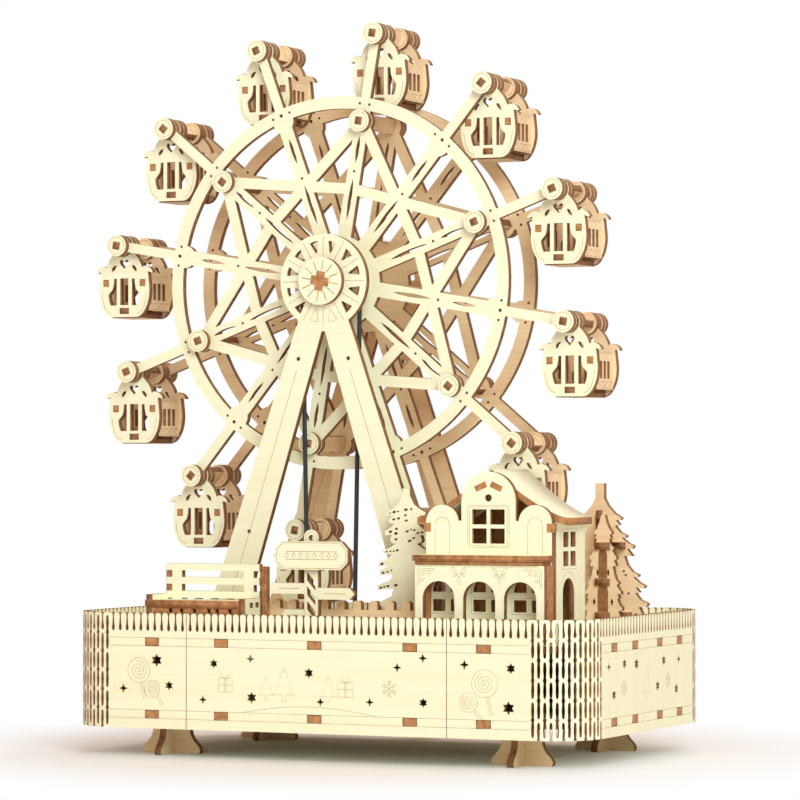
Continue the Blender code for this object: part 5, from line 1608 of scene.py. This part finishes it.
class BuildBench(Builder, bpy.types.Operator):
    """Builds the bench: slatted back, seat, apron and two ends."""

    bl_idname = "ferris.bench"
    bl_label = "Bench"

    def execute(self, context):
        sizes = self.sizes(context, "ferris_playground")
        low, high = edges_of("bench")
        x, back = (low.x + high.x) / 2, high.y - HALF_PLY
        near, half = low.y, (high.x - low.x) / 2
        parts = [placed_sheet("slatted_bench", bench_back(sizes), "front", (x + 1.1, back, 0.0))]
        seat = rectangle(-half, near, half - PLY, back - HALF_PLY)
        place = (x, 0.0, sizes.seat - HALF_PLY)
        parts.append(light_edged(placed_sheet("seat", [seat], "up", place)))
        holes = [rectangle(s, 59.9, s + 1.9, 61.7) for s in (-12.8, -7.6, -1.6, 5.2, 9.0, 15.0)]
        apron = rectangle(-half + 3.4, DECK_LEVEL, half - 3.2, sizes.seat - PLY)
        place = (x, near + 2.2, 0.0)
        parts.append(bare_edges(placed_sheet("apron", [apron] + holes, "front", place)))
        holes = [rectangle(y, 62.2, y + 3.0, 64.4) for y in (near + 4.4, near + 9.6)]
        for side, inset, top in ((-1.0, 0.4, sizes.seat + 2.2), (1.0, 0.0, sizes.seat + 0.8)):
            end = rectangle(near + 0.4, DECK_LEVEL, back - HALF_PLY - 0.1, top)
            place = (x + side * (half - inset - HALF_PLY), 0.0, 0.0)
            parts.append(placed_sheet("bench_end", [end] + holes, "right", place))
        upright = rectangle(back - 0.9, DECK_LEVEL, back + 2.2, 79.0)
        for shift in (-19.6, 24.3):
            place = (x + shift, 0.0, 0.0)
            parts.append(bare_edges(placed_sheet("bench_upright", [upright], "right", place)))
        deliver(joined(parts), "stand", "bench")
        return {"FINISHED"}


class BuildSignpost(Builder, bpy.types.Operator):
    """Builds the signpost: post, ring, board and three fingers, all left without words."""

    bl_idname = "ferris.signpost"
    bl_label = "Signpost"

    def execute(self, context):
        sizes = self.sizes(context, "ferris_playground")
        high = edges_of("signpost")[1]
        board_x, post_x, y = 11.1, 9.7, high.y - HALF_PLY
        loops, lines = sign_post(sizes)
        parts = [placed_sheet("ringed_signpost", loops, "front", (post_x, y, 0.0), lines)]
        w, cut, low = sizes.board / 2, 3.0, sizes.board_low
        top = low + sizes.board_height
        board = mirrored([(w - cut, top), (w, top - cut), (w, low + cut), (w - cut, low)])
        inner = [(0.955 * px, 0.9 * (pz - top) + top - 0.58) for px, pz in board]
        band = [[(-11.5, z), (11.5, z)] for z in (85.6, 82.4)]
        band += [closed_line(moved(diamond(2.0, 2.2), 3.2 * (k - 3.5), 84.0)) for k in range(8)]
        parts.append(placed_sheet("board", [board], "front", (board_x, y - PLY, 0.0),
                                  [closed_line(inner)] + band, half_width=0.14))
        for side, z, reach, height, tip in ((-1.0, 68.2, 16.0, 4.4, 0.4),
                                            (1.0, 66.0, 16.7, 4.8, 2.3),
                                            (-1.0, 57.3, 10.6, 4.4, 1.8)):
            loop = moved(finger(side, reach, height, tip), side * (sizes.post / 2 - 0.1), z)
            mark = [(side * (sizes.post / 2 + 2.4), z + height / 2),
                    (side * (reach - 1.0), z + height / 2)]
            parts.append(placed_sheet("finger", [loop], "front", (post_x, y, 0.0), [mark],
                                      half_width=0.14))
        deliver(joined(parts), "stand", "signpost")
        return {"FINISHED"}


class BuildFence(Builder, bpy.types.Operator):
    """Cuts the fence with its battlements."""

    bl_idname = "ferris.fence"
    bl_label = "Fence"

    def execute(self, context):
        low, high = edges_of("fence")
        loops = fence_loops(low.x, high.x, self.sizes(context, "ferris_playground"))
        fence = placed_sheet("notched_fence", loops, "front", (0.0, (low.y + high.y) / 2, 0.0))
        deliver(with_painted_shade(fence), "stand", "fence")
        return {"FINISHED"}


class BuildTrees(Builder, bpy.types.Operator):
    """Builds the two firs, each of two crossed plates."""

    bl_idname = "ferris.trees"
    bl_label = "Trees"

    def execute(self, context):
        self.large_fir()
        self.small_fir()
        return {"FINISHED"}

    def large_fir(self):
        """The fir with collars, which hold a narrow plate in front of it; dark panels in its middle
        are painted shade of the shadowed gap between the plates.
        """
        place = (*middle_of("large_tree").xy, DECK_LEVEL)
        diamonds = []
        for x, z in ((2.6, 30.4), (4.4, 16.6), (2.0, 13.8)):
            diamonds += both_sides(moved(diamond(1.5, 3.8), x, z))
        berries = [berry(x, z, 0.5)
                   for x, z in ((10.8, 27.2), (11.8, 25.6), (12.9, 18.0), (16.2, 9.4))]
        loops = [fir_plate(LARGE_FIR)] + diamonds + berries
        parts = [placed_sheet("tiered_large_tree", loops, "front", place)]
        loops = [fir_plate(LARGE_FIR, 0.28, 0.7)] + diamonds
        parts.append(placed_sheet("fir_across", loops, "right", (*place[:2], place[2] - 0.01)))
        shift, ahead = 4.4, 7.4
        narrow = [(x * 0.4, z * 0.88) for x, z in LARGE_FIR[1:]]
        marks = [[(0.9 * x, 0.88 * z) for x, z in loop] for loop in diamonds]
        parts.append(placed_sheet("narrow_fir", [mirrored(narrow)] + marks, "front",
                                  (place[0] + shift, place[1] - ahead, place[2])))
        shades = []
        # Dark panels on the narrow plate's face, in the burnt edge colour: painted shade where the
        # gap between the plates lies in shadow
        for half, low, high in ((2.3, 10.5, 21.3), (1.9, 24.5, 36.2)):
            gap = mirrored([(half * 0.7, high), (half, high - 2.0), (half, low)])
            shade = tab_end(gap, "front", (place[0] + shift, place[1] - ahead - 0.15, place[2]))
            shade.data.materials[1] = look("burnt_edge")
            shades.append(shade)
        for height, left in ((37.8, 7.2), (22.9, None), (8.9, 10.0)):
            bars = [rectangle(shift - 3.1, -ahead - 3.0, shift + 3.1, 0.0)]
            if left:
                bars.append(rectangle(left, -4.6, left + 4.4, 0.0))
            parts.append(placed_sheet("collar", bars, "up", (*place[:2], place[2] + height)))
        for part in parts:
            with_painted_shade(part)
        deliver(joined(parts + shades), "stand", "large_tree")

    def small_fir(self):
        """The fir with berries cut through it."""
        place = (*middle_of("small_tree").xy, DECK_LEVEL)
        loops = [fir_plate(SMALL_FIR)] + [berry(*values) for values in BERRIES]
        parts = [placed_sheet("berried_small_tree", loops, "front", place)]
        across = placed_sheet("fir_across", [fir_plate(SMALL_FIR, 0.09, 0.6)], "right",
                              (*place[:2], place[2] - 0.01))
        parts.append(with_painted_shade(across))
        deliver(joined(parts), "stand", "small_tree")


class DressNodes(Builder, bpy.types.Operator):
    """Gives the model's own pieces their wood, where their shape is right as it is."""

    bl_idname = "ferris.dress"
    bl_label = "Dress the model's pieces"

    def execute(self, context):
        for finish, nodes in (
            ("plywood_deck", ("upper_deck", "lower_deck")),
            ("plywood_upright", ("axle", "upper_pulley", "lower_pulley", "shaft_bracket",
                                 "crank_arm")),
            ("turned_wood", ("drive_shaft", "crank_knob")),
        ):
            for node in nodes:
                for slot in NODES[node].material_slots:
                    slot.material = look(finish)
        return {"FINISHED"}


class BuildStage(Builder, bpy.types.Operator):
    """Lays the white floor, and sets the lamps and the camera."""

    bl_idname = "ferris.stage"
    bl_label = "Stage"

    def execute(self, context):
        light = context.scene.ferris_studio
        bpy.ops.mesh.primitive_plane_add(size=6.0, location=(0.0, 0.0, -0.0001))
        floor = bpy.context.object
        floor.name = "white_floor"
        floor.data.materials.append(self.floor_finish())
        for name, place, size, power in (
            ("key", (1.35, -1.55, 1.2), 1.3, light.key * 4.8),
            ("fill", (-1.3, -1.2, 0.9), 1.6, light.key * 0.6),
            ("back", (0.2, 1.2, 1.6), 1.6, light.key * 1.2),
        ):
            aim = (Vector((0.0, 0.0, 0.12)) - Vector(place)).to_track_quat("-Z", "Y")
            bpy.ops.object.light_add(type="AREA", location=place, rotation=aim.to_euler())
            lamp = bpy.context.object
            lamp.name = name + "_lamp"
            lamp.data.size = size
            lamp.data.energy = power
            lamp.data.color = light.lamp
        self.surroundings(context, light)
        forward = Vector((-0.42002, 0.90734, 0.01769)).to_track_quat("-Z", "Y")
        bpy.ops.object.camera_add(location=(0.683027, -1.4539, 0.1204), rotation=forward.to_euler())
        camera = bpy.context.object
        camera.data.lens = 169.3
        camera.data.sensor_width = 36.0
        camera.data.clip_end = 20.0
        context.scene.camera = camera
        context.scene.view_settings.view_transform = "Standard"
        return {"FINISHED"}

    def floor_finish(self):
        """Matt white near the base, where the shadow falls, and plain white further out."""
        finish = Finish("white_floor", 0.9)
        finish.surface("Base Color", (0.93, 0.96, 0.98, 1.0))
        finish.surface("Specular IOR Level", 0.0)
        away = finish.node("ShaderNodeVectorMath", {"operation": "LENGTH"},
                           {0: finish.place()}, "Value")
        share = finish.node("ShaderNodeMapRange", {"interpolation_type": "SMOOTHSTEP"},
                            {"Value": away, "From Min": 0.07, "From Max": 0.24})
        camera = finish.node("ShaderNodeLightPath", output="Is Camera Ray")
        camera = camera + finish.node("ShaderNodeLightPath", output="Is Glossy Ray")
        camera = camera + finish.node("ShaderNodeLightPath", output="Is Transmission Ray")
        white = finish.node("ShaderNodeEmission", None,
                            {"Color": (1.0, 1.0, 1.0, 1.0), "Strength": 1.0})
        matt = finish.shader.outputs[0]
        both = finish.node("ShaderNodeMixShader", None, {0: share * camera, 2: white})
        finish.tree.links.new(matt, both.socket.node.inputs[1])
        finish.tree.links.new(both.socket, finish.tree.nodes["Material Output"].inputs[0])
        return finish.material

    def surroundings(self, context, light):
        """White where the camera sees it, and a softer level where it lights the wood."""
        world = bpy.data.worlds.new("white_room")
        context.scene.world = world
        world.use_nodes = True
        nodes, links = world.node_tree.nodes, world.node_tree.links
        background, path = nodes["Background"], nodes.new("ShaderNodeLightPath")
        strength, tone = nodes.new("ShaderNodeMapRange"), nodes.new("ShaderNodeMix")
        strength.inputs["To Min"].default_value = light.sky
        tone.data_type = "RGBA"
        tone.inputs[6].default_value = rgba(light.tint)
        tone.inputs[7].default_value = (1.0, 1.0, 1.0, 1.0)
        seen = path.outputs["Is Camera Ray"]
        for ray in ("Is Glossy Ray", "Is Transmission Ray"):
            either = nodes.new("ShaderNodeMath")
            links.new(seen, either.inputs[0])
            links.new(path.outputs[ray], either.inputs[1])
            seen = either.outputs[0]
        links.new(seen, strength.inputs["Value"])
        links.new(seen, tone.inputs[0])
        links.new(strength.outputs[0], background.inputs["Strength"])
        links.new(tone.outputs[2], background.inputs["Color"])


GROUPS = {
    "ferris_wood": WoodColours, "ferris_base": BaseSizes, "ferris_wheel": WheelSizes,
    "ferris_cabin": CabinSizes, "ferris_playground": PlaygroundSizes, "ferris_studio": StudioLight,
}
STEPS = (
    BuildWalls, BuildFeet, BuildFrames, BuildWheel, BuildHubCap, BuildRods, BuildCabins, BuildBelt,
    BuildShop, BuildBench, BuildSignpost, BuildFence, BuildTrees, DressNodes, BuildStage,
)


class FerrisPanel(bpy.types.Panel):
    """Lists the sizes, the colours and the operators."""

    bl_idname = "VIEW3D_PT_ferris_wheel"
    bl_label = "Wooden ferris wheel"
    bl_space_type = "VIEW_3D"
    bl_region_type = "UI"
    bl_category = "Ferris wheel"

    def draw(self, context):
        for name, group in GROUPS.items():
            box = self.layout.box()
            for value in group.__annotations__:
                box.prop(getattr(context.scene, name), value)
        for step in STEPS:
            self.layout.operator(step.bl_idname)


CLASSES = (*GROUPS.values(), *STEPS, FerrisPanel)


def register():
    for each in CLASSES:
        bpy.utils.register_class(each)
    for name, group in GROUPS.items():
        setattr(bpy.types.Scene, name, PointerProperty(type=group))


def unregister():
    for name in GROUPS:
        delattr(bpy.types.Scene, name)
    for each in reversed(CLASSES):
        bpy.utils.unregister_class(each)


def main():
    """Builds every piece in order."""
    for startup in ("Cube", "Light", "Camera"):
        if startup in bpy.data.objects:
            bpy.data.objects.remove(bpy.data.objects[startup])
    register()
    for step in STEPS:
        name = step.bl_idname.split(".")[1]
        getattr(bpy.ops.ferris, name)()


if __name__ == "__main__":
    main()
